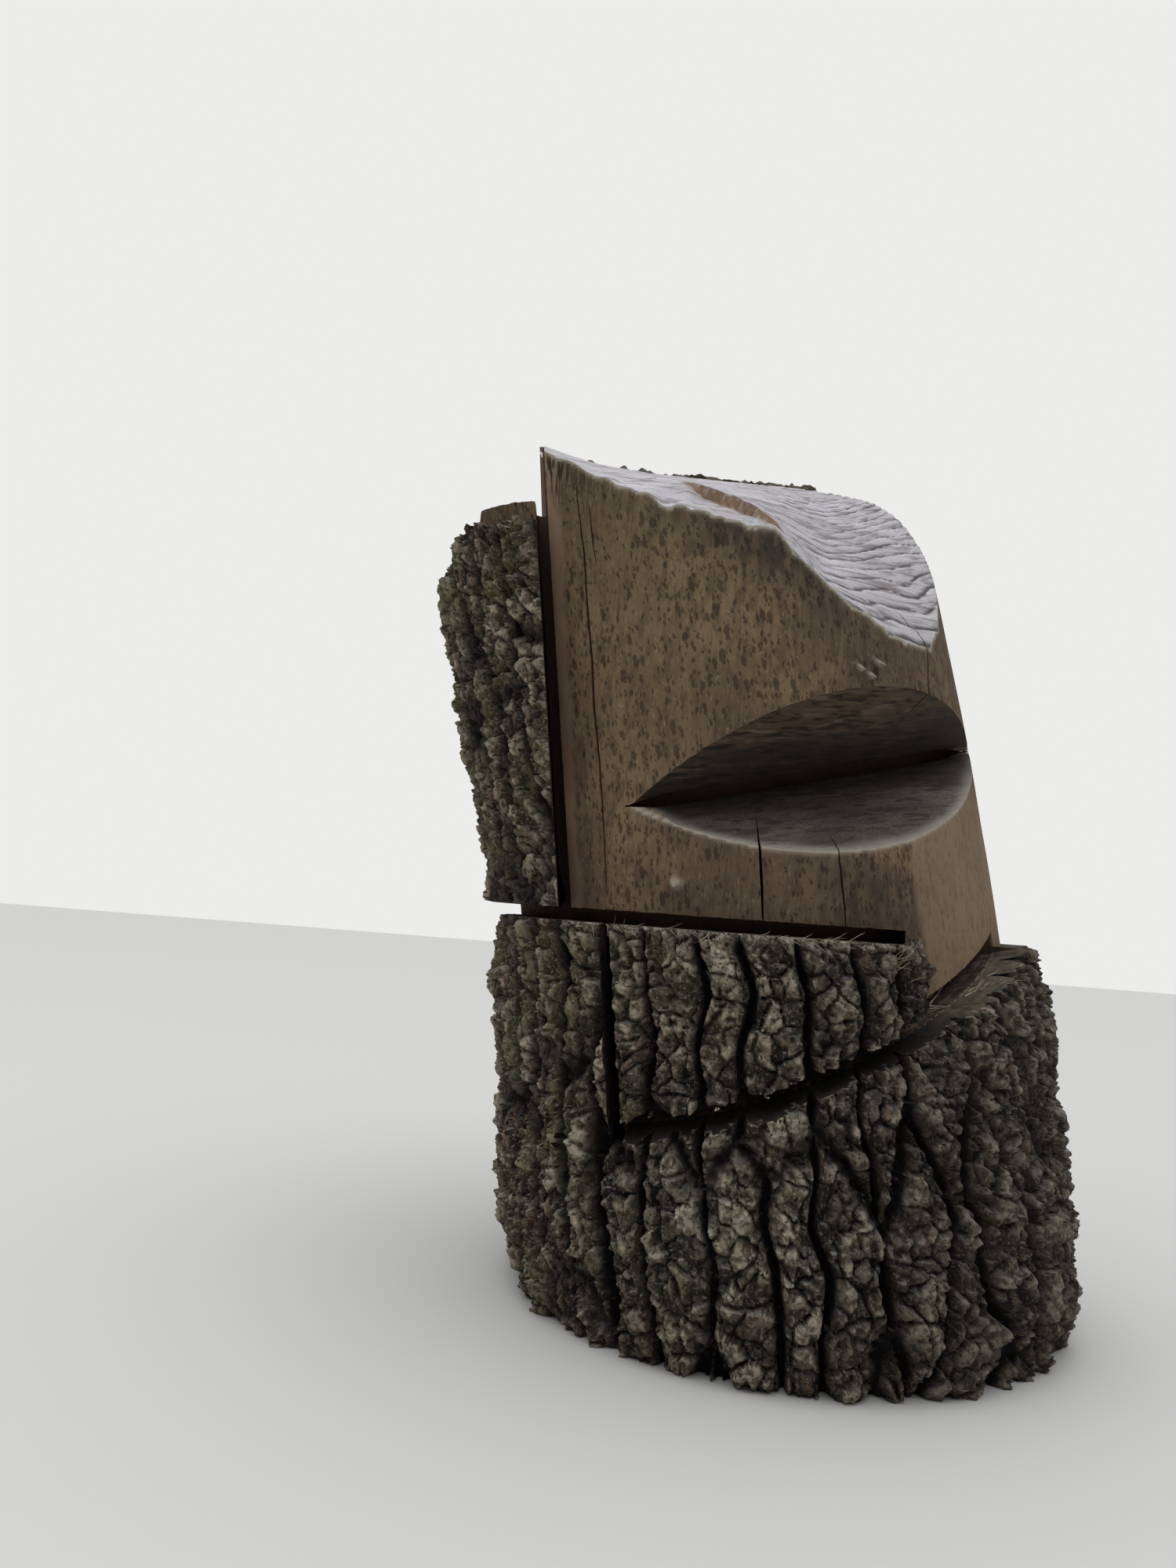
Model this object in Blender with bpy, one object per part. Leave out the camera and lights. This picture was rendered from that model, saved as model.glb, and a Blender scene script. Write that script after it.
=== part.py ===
"""A short, thick-barked log that stands on its sawn base, cut and half peeled with a chainsaw.

One solid. The origin is the middle of the base, +Z is up and -Y faces the front. The trunk leans and
sweeps towards -X. Its front and right side are peeled to the wood above a level saw kerf and a sloping
one, a notch like an open mouth is cut into the peeled side, and the top is one long slanting cut.
"""

import math

import bmesh
import bpy
from mathutils import Vector

# Driving dimensions, metres. Slopes are rise over run.
WOOD_RADIUS = 0.187
WOOD_SWELL = 0.025  # growth of the radius per metre above SWELL_START
SWELL_START = 0.36
BARK_THICKNESS = 0.028
LEAN = 0.06
SWEEP = 0.20
KERF = 0.009

BASE_WEAR = 0.010  # the bark's lowest edge is rubbed back
BASE_WEAR_HEIGHT = 0.05
RIDGES = 34
RIDGE_STEPS = 4
FURROW_DEPTH = 0.007
RIDGE_SWAYS = ((0.03, 11.0, 2.0), (0.012, 29.0, 5.0))  # radians, waves up the log, waves round it
LUMP_HEIGHT = 0.002
LUMP_WAVES = (37.0, 1.3)  # up the log, and from one ridge step to the next
RING_SPACING = 0.04
BLANK_HEIGHT = 0.84

# The round cores that keep the wood and the middle of the log: sides, bottom and top.
WOOD_CORE = (96, -0.10, 1.00)
KERF_CORE = (64, -0.14, 1.04)
CUTTER_SIZE = 2.4

# The slanting top: its height over the rim's middle, and how the rim's height swings round the log.
TOP_CENTRE = (-0.10, 0.0)
TOP_RADIUS = 0.20
TOP_HEIGHT = 0.6398
TOP_SWINGS = (
    (-0.0533, 0.0977),
    (-0.0049, 0.0260),
    (0.0031, 0.0110),
    (0.0001, 0.0070),
    (0.0042, 0.0024),
)
TOP_CELLS = 22
TOP_REACH = 1.25  # the swings stay level beyond this many radii
TOP_CUTTER_HALF = 0.32
TOP_CUTTER_LID = 1.1

LEVEL_CUT = 0.279  # the peeled side ends here
BACK_LIMIT = 0.16  # the bark is whole behind this
KERF_DEPTH = 0.060  # measured from the outside of the bark
LEVEL_KERF_BACK = 0.05
LEDGE_LEFT = 0.114
LEDGE_CLEARANCE = 0.001
LEDGE_CUT_HEIGHT = 0.1

# The upright kerf at the left edge of the peeled side: a point on it, and how it runs.
SIDE_CUT = Vector((-0.151, -0.160, 0.279))
SIDE_CUT_BACK = -0.20
SIDE_CUT_UP = -0.135
SIDE_KERF_BACK = -0.10
SHOULDER_HEIGHT = 0.553
SHOULDER_RISE = 0.20
SHOULDER_INSET = 0.0015
SHOULDER_CHAMFER_X = -0.298
SHOULDER_CHAMFER_Z = 0.515
SHOULDER_CHAMFER_UP = 0.9
SHOULDER_CHAMFER_INSET = 0.02
SHOULDER_CHAMFER_TOP = 0.8

# The sloping kerf, and the upright one at the left end of the bark flap above it.
SLOPE_CUT = Vector((0.0, -0.214, 0.179))
SLOPE_CUT_RIGHT = 0.403
SLOPE_CUT_BACK = 0.343
FLAP_LEFT = Vector((-0.1185, 0.0, 0.271))
FLAP_LEFT_UP = -0.125
FLAP_LEFT_FOOT = 0.128
FLAP_KERF_BACK = -0.155
FLAP_RIGHT = 0.072
FLAP_RIGHT_UP = -0.42
FLAP_OVERLAP = 0.013

# The mouth: its inmost edge, and the slopes of its roof and floor going out.
MOUTH_EDGE = Vector((0.0, -0.1018, 0.3840))
MOUTH_BACK = 0.66
MOUTH_UP = 0.304
MOUTH_ROOF = 0.814
MOUTH_FLOOR = -0.688
MOUTH_KERF_IN = 0.03
MOUTH_KERF_OUT = 0.02
MOUTH_LEFT = -0.120

LOG_COLOUR = (0.13, 0.105, 0.08, 1.0)
LOG_ROUGHNESS = 0.85


def axis_x(z):
    """Where the log's middle is at height z."""
    return -(LEAN * z + SWEEP * z * z)


def wood_radius(z):
    return WOOD_RADIUS + WOOD_SWELL * max(0.0, z - SWELL_START)


def top_height(x, y):
    """Height of the slanting cut over a point."""
    place = complex(x - TOP_CENTRE[0], y - TOP_CENTRE[1]) / TOP_RADIUS
    if abs(place) > TOP_REACH:
        place *= TOP_REACH / abs(place)
    height = TOP_HEIGHT
    for order, (cosine, sine) in enumerate(TOP_SWINGS, start=1):
        swing = place**order
        height += cosine * swing.real + sine * swing.imag
    return height


def side_cut_x(y, z):
    """The right wall of the upright kerf."""
    return SIDE_CUT.x + SIDE_CUT_BACK * (y - SIDE_CUT.y) + SIDE_CUT_UP * (z - SIDE_CUT.z)


def slope_cut_z(x, y):
    """The upper wall of the sloping kerf."""
    return SLOPE_CUT.z + SLOPE_CUT_RIGHT * (x - SLOPE_CUT.x) + SLOPE_CUT_BACK * (y - SLOPE_CUT.y)


def flap_left_x(z):
    return FLAP_LEFT.x + FLAP_LEFT_UP * (z - FLAP_LEFT.z)


def flap_right_x(z):
    return FLAP_RIGHT + FLAP_RIGHT_UP * (z - LEVEL_CUT + KERF / 2)


def collection(name):
    made = bpy.data.collections.new(name)
    bpy.context.scene.collection.children.link(made)
    return made


def add_object(name, mesh_builder, home):
    mesh = bpy.data.meshes.new(name)
    bmesh.ops.recalc_face_normals(mesh_builder, faces=mesh_builder.faces)
    mesh_builder.to_mesh(mesh)
    mesh_builder.free()
    obj = bpy.data.objects.new(name, mesh)
    home.objects.link(obj)
    return obj


def add_cutter(name, mesh_builder, home):
    obj = add_object(name, mesh_builder, home)
    obj.hide_render = True
    obj.display_type = "WIRE"
    return obj


def slab(name, home, *planes):
    """A cutter made from a cube, trimmed by planes. Each is a function of a point, positive outside."""
    builder = bmesh.new()
    bmesh.ops.create_cube(builder, size=CUTTER_SIZE)
    for plane in planes:
        offset = plane(Vector((0.0, 0.0, 0.0)))
        normal = Vector([plane(Vector(axis)) - offset for axis in ((1, 0, 0), (0, 1, 0), (0, 0, 1))])
        cut = bmesh.ops.bisect_plane(
            builder,
            geom=builder.verts[:] + builder.edges[:] + builder.faces[:],
            plane_co=normal * (-offset / normal.length_squared),
            plane_no=normal,
            clear_outer=True,
        )
        rim = [item for item in cut["geom_cut"] if isinstance(item, bmesh.types.BMEdge)]
        bmesh.ops.edgeloop_fill(builder, edges=rim)
    return add_cutter(name, builder, home)


def trunk(segments, bottom, top, radius_at):
    """A capped trunk on the log's own axis. radius_at(step, z) gives its radius round one ring."""
    builder = bmesh.new()
    bmesh.ops.create_cone(
        builder, cap_ends=True, segments=segments, radius1=1.0, radius2=1.0, depth=1.0
    )
    rings = round((top - bottom) / RING_SPACING)
    for ring in range(1, rings):
        bmesh.ops.bisect_plane(
            builder,
            geom=builder.verts[:] + builder.edges[:] + builder.faces[:],
            plane_co=(0, 0, ring / rings - 0.5),
            plane_no=(0, 0, 1),
        )
    for vert in builder.verts:
        angle = math.atan2(vert.co.y, vert.co.x)
        step = round(angle / math.tau * segments) % segments
        z = bottom + (vert.co.z + 0.5) * (top - bottom)
        if segments == RIDGES * RIDGE_STEPS:
            angle += wander(angle, z)
        radius = radius_at(step, z)
        vert.co = (axis_x(z) + radius * math.cos(angle), radius * math.sin(angle), z)
    return builder


def wander(angle, z):
    """How far a bark ridge wanders round the log at height z, in radians."""
    return sum(sway * math.sin(up * z + around * angle) for sway, up, around in RIDGE_SWAYS)


def bark_radius(step, z):
    """Ridge tops, with a furrow at every fourth step."""
    place = step % RIDGE_STEPS
    lump = LUMP_HEIGHT * math.sin(LUMP_WAVES[0] * z + LUMP_WAVES[1] * step)
    relief = -FURROW_DEPTH if place == 0 else lump
    wear = BASE_WEAR * max(0.0, 1.0 - z / BASE_WEAR_HEIGHT)
    return wood_radius(z) + BARK_THICKNESS + relief - wear


def add_boolean(obj, name, cutter, operation="DIFFERENCE"):
    modifier = obj.modifiers.new(name, "BOOLEAN")
    modifier.operation = operation
    modifier.solver = "EXACT"
    modifier.object = cutter


def wood_core(home):
    """The log without its bark, taken out of the cutters that only peel."""
    return add_cutter("wood_core", trunk(*WOOD_CORE, lambda step, z: wood_radius(z)), home)


def kerf_core(home):
    """What the kerfs that follow the outside leave in the middle."""
    inset = KERF_DEPTH - BARK_THICKNESS
    shape = trunk(*KERF_CORE, lambda step, z: wood_radius(z) - inset)
    return add_cutter("kerf_core", shape, home)


def peel_cutter(home, core):
    """The bark taken off above the level kerf and, to the right of the flap, above the sloping one."""
    left = slab(
        "peel_left",
        home,
        lambda p: side_cut_x(p.y, p.z) - KERF / 2 - p.x,
        lambda p: p.x - FLAP_RIGHT - FLAP_OVERLAP,
        lambda p: p.y,
        lambda p: LEVEL_CUT - KERF / 2 - p.z,
    )
    right = slab(
        "peel_right",
        home,
        lambda p: flap_right_x(p.z) - p.x,
        lambda p: p.y - BACK_LIMIT,
        lambda p: slope_cut_z(p.x, p.y) - KERF / 2 - p.z,
    )
    ledge = slab(
        "peel_ledge",
        home,
        lambda p: LEDGE_LEFT - p.x,
        lambda p: p.y - BACK_LIMIT - LEDGE_CLEARANCE,
        lambda p: p.z - LEVEL_CUT - LEDGE_CUT_HEIGHT,
        lambda p: LEVEL_CUT - KERF / 2 - p.z,
    )
    add_boolean(right, "join the left part", left, "UNION")
    add_boolean(right, "join the ledge", ledge, "UNION")
    add_boolean(right, "keep the wood", core)
    return right


def kerf_cutters(home, core):
    """The thin saw cuts. Those that follow the outside stop at the core."""
    level = slab(
        "level_kerf",
        home,
        lambda p: p.x - FLAP_RIGHT,
        lambda p: p.y - LEVEL_KERF_BACK,
        lambda p: p.z - LEVEL_CUT,
        lambda p: LEVEL_CUT - KERF - p.z,
    )
    tilt = math.sqrt(1 + SLOPE_CUT_RIGHT**2 + SLOPE_CUT_BACK**2)
    slope = slab(
        "slope_kerf",
        home,
        lambda p: flap_left_x(FLAP_LEFT_FOOT) - KERF / 2 - p.x,
        lambda p: p.y,
        lambda p: p.z - slope_cut_z(p.x, p.y),
        lambda p: p.z - LEVEL_CUT + KERF / 2,
        lambda p: slope_cut_z(p.x, p.y) - KERF * tilt - p.z,
    )
    for cutter in (level, slope):
        add_boolean(cutter, "keep the core", core)
    flap = slab(
        "flap_left_kerf",
        home,
        lambda p: p.x - flap_left_x(p.z),
        lambda p: flap_left_x(p.z) - KERF - p.x,
        lambda p: p.y - FLAP_KERF_BACK,
        lambda p: p.z - LEVEL_CUT + KERF / 2,
        lambda p: FLAP_LEFT_FOOT - p.z,
    )
    side = slab(
        "side_kerf",
        home,
        lambda p: p.x - side_cut_x(p.y, p.z),
        lambda p: side_cut_x(p.y, p.z) - KERF - p.x,
        lambda p: p.y - SIDE_KERF_BACK,
        lambda p: LEVEL_CUT - KERF / 2 - p.z,
    )
    return [level, slope, flap, side]


def shoulder_cutters(home):
    """Take the top off the bark-covered slab left of the upright kerf, and slope its outer corner."""

    def right_wall(p):
        return p.x - side_cut_x(p.y, p.z) + SHOULDER_INSET

    flat = slab(
        "shoulder",
        home,
        right_wall,
        lambda p: SHOULDER_HEIGHT + SHOULDER_RISE * (p.y - SIDE_CUT.y) - p.z,
    )
    corner = slab(
        "shoulder_corner",
        home,
        lambda p: right_wall(p) + SHOULDER_CHAMFER_INSET,
        lambda p: p.z - SHOULDER_CHAMFER_TOP,
        lambda p: SHOULDER_CHAMFER_Z + SHOULDER_CHAMFER_UP * (p.x - SHOULDER_CHAMFER_X) - p.z,
    )
    return [flat, corner]


def mouth_cutters(home):
    """The notch: a wedge whose edge lies inside the log, and the kerf that runs past that edge."""

    def outwards(p):
        return (MOUTH_BACK * (p.x - MOUTH_EDGE.x) - (p.y - MOUTH_EDGE.y)) / math.hypot(1, MOUTH_BACK)

    def edge_z(p):
        """The height of the inmost edge, carried straight out to p."""
        along = ((p.x - MOUTH_EDGE.x) + MOUTH_BACK * (p.y - MOUTH_EDGE.y)) / (1 + MOUTH_BACK**2)
        return MOUTH_EDGE.z + MOUTH_UP * along

    wedge = slab(
        "mouth_wedge",
        home,
        lambda p: p.z - edge_z(p) - MOUTH_ROOF * outwards(p),
        lambda p: edge_z(p) + MOUTH_FLOOR * outwards(p) - p.z,
    )
    kerf = slab(
        "mouth_kerf",
        home,
        lambda p: MOUTH_LEFT - p.x,
        lambda p: outwards(p) - MOUTH_KERF_OUT,
        lambda p: -outwards(p) - MOUTH_KERF_IN,
        lambda p: p.z - edge_z(p) - KERF / 2,
        lambda p: edge_z(p) - KERF / 2 - p.z,
    )
    return [wedge, kerf]


def top_cutter(home):
    """Everything above the slanting cut."""
    builder = bmesh.new()
    bmesh.ops.create_grid(builder, x_segments=TOP_CELLS, y_segments=TOP_CELLS, size=TOP_CUTTER_HALF)
    for vert in builder.verts:
        vert.co.x += TOP_CENTRE[0]
        vert.co.y += TOP_CENTRE[1]
        vert.co.z = top_height(vert.co.x, vert.co.y)
    lifted = bmesh.ops.extrude_face_region(builder, geom=builder.faces[:])
    for item in lifted["geom"]:
        if isinstance(item, bmesh.types.BMVert):
            item.co.z = TOP_CUTTER_LID
    return add_cutter("top_cut", builder, home)


def add_material(obj):
    material = bpy.data.materials.new("weathered_log")
    material.use_nodes = True
    shader = material.node_tree.nodes["Principled BSDF"]
    shader.inputs["Base Color"].default_value = LOG_COLOUR
    shader.inputs["Roughness"].default_value = LOG_ROUGHNESS
    shader.inputs["Metallic"].default_value = 0.0
    obj.data.materials.append(material)


def main():
    for obj in list(bpy.data.objects):
        bpy.data.objects.remove(obj)
    parts = collection("wood_log")
    cutters = collection("cutters")

    log = add_object("log", trunk(RIDGES * RIDGE_STEPS, 0.0, BLANK_HEIGHT, bark_radius), parts)
    add_material(log)
    tools = [peel_cutter(cutters, wood_core(cutters))]
    tools += kerf_cutters(cutters, kerf_core(cutters))
    tools += shoulder_cutters(cutters)
    tools += mouth_cutters(cutters)
    tools.append(top_cutter(cutters))
    for tool in tools:
        add_boolean(log, tool.name, tool)


main()
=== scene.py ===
"""The looks of a short thick-barked log, cut and half peeled with a chainsaw, standing on its sawn base.

The log's wood and its bark are modelled as fine relief round one leaning axis and then cut, as the real
one was, by a saw: every kerf, the notch like a mouth and the slanting top are cutters with rough, scored
faces. Angles round the log are turns from its front (-Y) towards its right (+X).
"""

import logging
import math
from collections.abc import Callable, Sequence
from dataclasses import dataclass, field
from enum import Enum

import bpy
import numpy as np
from mathutils import Matrix, Vector


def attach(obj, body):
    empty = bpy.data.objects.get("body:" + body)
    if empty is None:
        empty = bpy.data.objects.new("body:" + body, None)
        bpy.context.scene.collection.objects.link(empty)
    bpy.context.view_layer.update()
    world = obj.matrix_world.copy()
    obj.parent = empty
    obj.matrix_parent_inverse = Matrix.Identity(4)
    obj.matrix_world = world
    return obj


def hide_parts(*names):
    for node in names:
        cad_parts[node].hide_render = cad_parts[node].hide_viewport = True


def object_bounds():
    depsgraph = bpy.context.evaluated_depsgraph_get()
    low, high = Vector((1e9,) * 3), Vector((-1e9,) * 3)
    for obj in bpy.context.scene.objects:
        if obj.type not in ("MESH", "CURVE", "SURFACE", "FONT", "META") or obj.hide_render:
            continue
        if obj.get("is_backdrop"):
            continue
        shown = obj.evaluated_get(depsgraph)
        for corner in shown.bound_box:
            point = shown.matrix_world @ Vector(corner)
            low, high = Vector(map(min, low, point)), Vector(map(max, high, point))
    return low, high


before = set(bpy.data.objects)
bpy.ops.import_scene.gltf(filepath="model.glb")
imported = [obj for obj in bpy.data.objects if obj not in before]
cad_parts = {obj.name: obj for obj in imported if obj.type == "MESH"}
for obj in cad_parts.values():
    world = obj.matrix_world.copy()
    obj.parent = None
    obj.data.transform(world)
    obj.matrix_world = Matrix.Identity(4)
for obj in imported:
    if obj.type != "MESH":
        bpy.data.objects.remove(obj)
CAD_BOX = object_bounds()

Array = np.ndarray
Surface = Callable[[Array, Array], Array]
LOG = logging.getLogger("wood_log")
NODE = "log"


# ---------------------------------------------------------------- relief


def ease(value: Array) -> Array:
    """A smooth step from 0 to 1."""
    clipped = np.clip(value, 0.0, 1.0)
    return clipped * clipped * (3.0 - 2.0 * clipped)


def bell(distance: Array, width: float) -> Array:
    """A bell curve, 1 at distance 0."""
    return np.exp(-((distance / width) ** 2))


@dataclass(frozen=True)
class Ripple:
    """Smooth lumps that close up round the log.

    columns is how many lumps go round, and pitch how tall one is in metres.
    """

    columns: int
    pitch: float
    seed: int
    rows: int = 97

    def at(self, turn: Array, z: Array) -> Array:
        """Height of the lumps, from -1 to 1, at each turn and z."""
        table = np.random.default_rng(self.seed).random((self.rows, self.columns)) * 2.0 - 1.0
        across = np.mod(turn, 1.0) * self.columns
        along = z / self.pitch + 11.0
        i = np.floor(across).astype(int)
        j = np.floor(along).astype(int)
        u = ease(across - i)
        v = ease(along - j)
        here, right = i % self.columns, (i + 1) % self.columns
        low, high = j % self.rows, (j + 1) % self.rows
        bottom = table[low, here] * (1 - u) + table[low, right] * u
        top = table[high, here] * (1 - u) + table[high, right] * u
        return bottom * (1 - v) + top * v


@dataclass(frozen=True)
class Roughness:
    """Several sizes of Ripple added up, each half as strong as the one before."""

    columns: int
    pitch: float
    seed: int
    octaves: int = 3

    def at(self, turn: Array, z: Array) -> Array:
        """Height from about -1 to 1 at each turn and z."""
        total = np.zeros_like(turn)
        for octave in range(self.octaves):
            size = 2**octave
            layer = Ripple(self.columns * size, self.pitch / size, self.seed + octave)
            total += layer.at(turn, z) / size
        return total / 1.5


@dataclass(frozen=True)
class Plates:
    """Cracked plates that close up round the log, as bark breaks into.

    columns is how many plates go round, and pitch how tall one is in metres.
    """

    columns: int
    pitch: float
    seed: int
    scatter: float = 0.8
    rows: int = 61

    def at(self, turn: Array, z: Array) -> dict[str, Array]:
        """The plate under each point.

        Args:
            turn: turns from the front.
            z: heights in metres.

        Returns:
            edge: how far inside its plate the point is, 0 at a crack to about 0.5 in the middle.
            upright: 1 where the nearest crack runs up the log, 0 where it runs across.
            across, along: the point's place on its plate, in plates.
            dice: four random numbers for the plate.
        """
        rng = np.random.default_rng(self.seed)
        spots = 0.5 + self.scatter * (rng.random((self.rows, self.columns, 2)) - 0.5)
        dice = rng.random((self.rows, self.columns, 4))
        gu = np.mod(turn, 1.0) * self.columns
        gv = z / self.pitch + 7.0
        i = np.floor(gu).astype(int)
        j = np.floor(gv).astype(int)
        best = np.full(turn.shape, 9.0)
        second = np.full(turn.shape, 9.0)
        near = np.zeros(turn.shape + (2,))
        far = np.zeros(turn.shape + (2,))
        who = np.zeros(turn.shape + (4,))
        for dj in (-1, 0, 1):
            for di in (-1, 0, 1):
                row, column = (j + dj) % self.rows, (i + di) % self.columns
                spot = spots[row, column]
                away = np.stack([gu - i - di - spot[..., 0], gv - j - dj - spot[..., 1]], -1)
                distance = np.hypot(away[..., 0], away[..., 1])
                closer = distance < best
                runner = (~closer) & (distance < second)
                second = np.where(closer, best, np.where(runner, distance, second))
                far = np.where(closer[..., None], near, np.where(runner[..., None], away, far))
                near = np.where(closer[..., None], away, near)
                who = np.where(closer[..., None], dice[row, column], who)
                best = np.where(closer, distance, best)
        gap = near - far
        span = np.hypot(gap[..., 0], gap[..., 1]) + 1e-9
        return {
            "edge": (second**2 - best**2) / (2.0 * span),
            "upright": np.abs(gap[..., 0]) / span,
            "across": near[..., 0],
            "along": near[..., 1],
            "dice": who,
        }


# ---------------------------------------------------------------- form


@dataclass(frozen=True)
class LogForm:
    """The log's measures, in metres, and the cuts that were made in it."""

    wood_radius: float = 0.187
    wood_swell: float = 0.025
    swell_start: float = 0.36
    bark: float = 0.028
    lean: float = 0.06
    sweep: float = 0.20
    kerf: float = 0.009
    level_cut: float = 0.279
    kerf_floor: float = 0.155
    side_cut: tuple[float, float, float] = (-0.151, -0.160, 0.279)
    side_back: float = -0.20
    side_up: float = -0.135
    side_kerf_back: float = -0.10
    shoulder: float = 0.553
    shoulder_rise: float = 0.20
    slope_cut: tuple[float, float, float] = (0.0, -0.214, 0.179)
    slope_right: float = 0.403
    slope_back: float = 0.343
    flap_left: tuple[float, float] = (-0.1185, 0.271)
    flap_left_up: float = -0.125
    flap_foot: float = 0.128
    flap_kerf_back: float = -0.155
    flap_right: float = 0.072
    flap_right_up: float = -0.42
    mouth_edge: tuple[float, float, float] = (0.0, -0.1018, 0.3840)
    mouth_back: float = 0.66
    mouth_up: float = 0.304
    mouth_roof: float = 0.814
    mouth_floor: float = 0.688
    mouth_kerf_in: float = 0.03
    mouth_left: float = -0.116
    top_centre: tuple[float, float] = (-0.10, 0.0)
    top_radius: float = 0.20
    top_height: float = 0.6398
    top_swings: tuple[complex, ...] = (
        -0.0533 + 0.0977j,
        -0.0049 + 0.0260j,
        0.0031 + 0.0110j,
        0.0001 + 0.0070j,
        0.0042 + 0.0024j,
    )

    def axis_x(self, z: Array) -> Array:
        """Where the middle of the log is at height z."""
        return -(self.lean * z + self.sweep * z * z)

    def wood_at(self, z: Array) -> Array:
        """The wood's radius at height z."""
        return self.wood_radius + self.wood_swell * np.maximum(0.0, z - self.swell_start)

    def point(self, turn: Array, z: Array, radius: Array) -> Array:
        """Points at turns from the front, heights and radii from the log's axis."""
        angle = turn * math.tau
        return np.stack(
            [self.axis_x(z) + radius * np.sin(angle), -radius * np.cos(angle), z + 0.0 * radius], -1
        )

    def polar(self, points: Array) -> tuple[Array, Array, Array]:
        """Turn, height and radius of each point."""
        x = points[..., 0] - self.axis_x(points[..., 2])
        turn = np.arctan2(x, -points[..., 1]) / math.tau
        return turn, points[..., 2], np.hypot(x, points[..., 1])

    def side_x(self, y: Array, z: Array) -> Array:
        """The right wall of the upright kerf between the bark slab and the peeled side."""
        x0, y0, z0 = self.side_cut
        return x0 + self.side_back * (y - y0) + self.side_up * (z - z0)

    def side_turn(self, z: Array, radius: Array) -> Array:
        """The turn at which the middle of that kerf meets a radius."""
        turn = np.full(np.shape(z), -0.12)
        for _ in range(12):
            y = -radius * np.cos(turn * math.tau)
            reach = (self.side_x(y, z) - self.kerf / 2 - self.axis_x(z)) / radius
            turn = np.arcsin(np.clip(reach, -0.999, 0.999)) / math.tau
        return turn

    def slope_z(self, x: Array, y: Array) -> Array:
        """The upper wall of the sloping kerf."""
        x0, y0, z0 = self.slope_cut
        return z0 + self.slope_right * (x - x0) + self.slope_back * (y - y0)

    def slope_at(self, turn: Array, radius: Array) -> Array:
        """The height of that wall at a turn and radius."""
        z = np.full(np.shape(turn), 0.2)
        for _ in range(6):
            place = self.point(turn, z, radius)
            z = self.slope_z(place[..., 0], place[..., 1])
        return z

    def flap_left_x(self, z: Array) -> Array:
        """The flap's left edge."""
        return self.flap_left[0] + self.flap_left_up * (z - self.flap_left[1])

    def flap_right_x(self, z: Array) -> Array:
        """The flap's broken right edge."""
        return self.flap_right + self.flap_right_up * (z - self.level_cut + self.kerf / 2)

    def mouth_out(self, x: Array, y: Array) -> Array:
        """How far a point lies outwards of the mouth's inmost edge."""
        x0, y0, _ = self.mouth_edge
        return (self.mouth_back * (x - x0) - (y - y0)) / math.hypot(1.0, self.mouth_back)

    def mouth_z(self, x: Array, y: Array) -> Array:
        """Height of the mouth's inmost edge, carried straight out to a point."""
        x0, y0, z0 = self.mouth_edge
        along = ((x - x0) + self.mouth_back * (y - y0)) / (1.0 + self.mouth_back**2)
        return z0 + self.mouth_up * along

    def top_z(self, x: Array, y: Array) -> Array:
        """Height of the slanting top before the saw's marks."""
        place = ((x - self.top_centre[0]) + 1j * (y - self.top_centre[1])) / self.top_radius
        size = np.abs(place)
        place = np.where(size > 1.25, place * 1.25 / np.maximum(size, 1e-9), place)
        height = np.full(np.shape(x), self.top_height)
        for order, swing in enumerate(self.top_swings, start=1):
            height = height + swing.real * (place**order).real + swing.imag * (place**order).imag
        return height


FORM = LogForm()


def degrees(angle: float) -> float:
    """Degrees round the log as turns."""
    return angle / 360.0


# ---------------------------------------------------------------- mesh tools


def deselect() -> None:
    """Leaves nothing selected."""
    for other in bpy.context.selected_objects:
        other.select_set(False)


def activate(obj: bpy.types.Object) -> None:
    """Selects one object alone and makes it active."""
    deselect()
    obj.select_set(True)
    bpy.context.view_layer.objects.active = obj


def points_of(obj: bpy.types.Object) -> Array:
    """The object's vertices as an array."""
    flat = np.empty(len(obj.data.vertices) * 3)
    obj.data.vertices.foreach_get("co", flat)
    return flat.reshape(-1, 3)


def move_points(obj: bpy.types.Object, points: Array) -> None:
    """Moves the object's vertices."""
    obj.data.vertices.foreach_set("co", points.ravel())
    obj.data.update()


def face_outwards(obj: bpy.types.Object) -> None:
    """Turns all faces outwards."""
    activate(obj)
    bpy.ops.object.mode_set(mode="EDIT")
    bpy.ops.mesh.select_all(action="SELECT")
    bpy.ops.mesh.normals_make_consistent(inside=False)
    bpy.ops.object.mode_set(mode="OBJECT")


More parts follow.
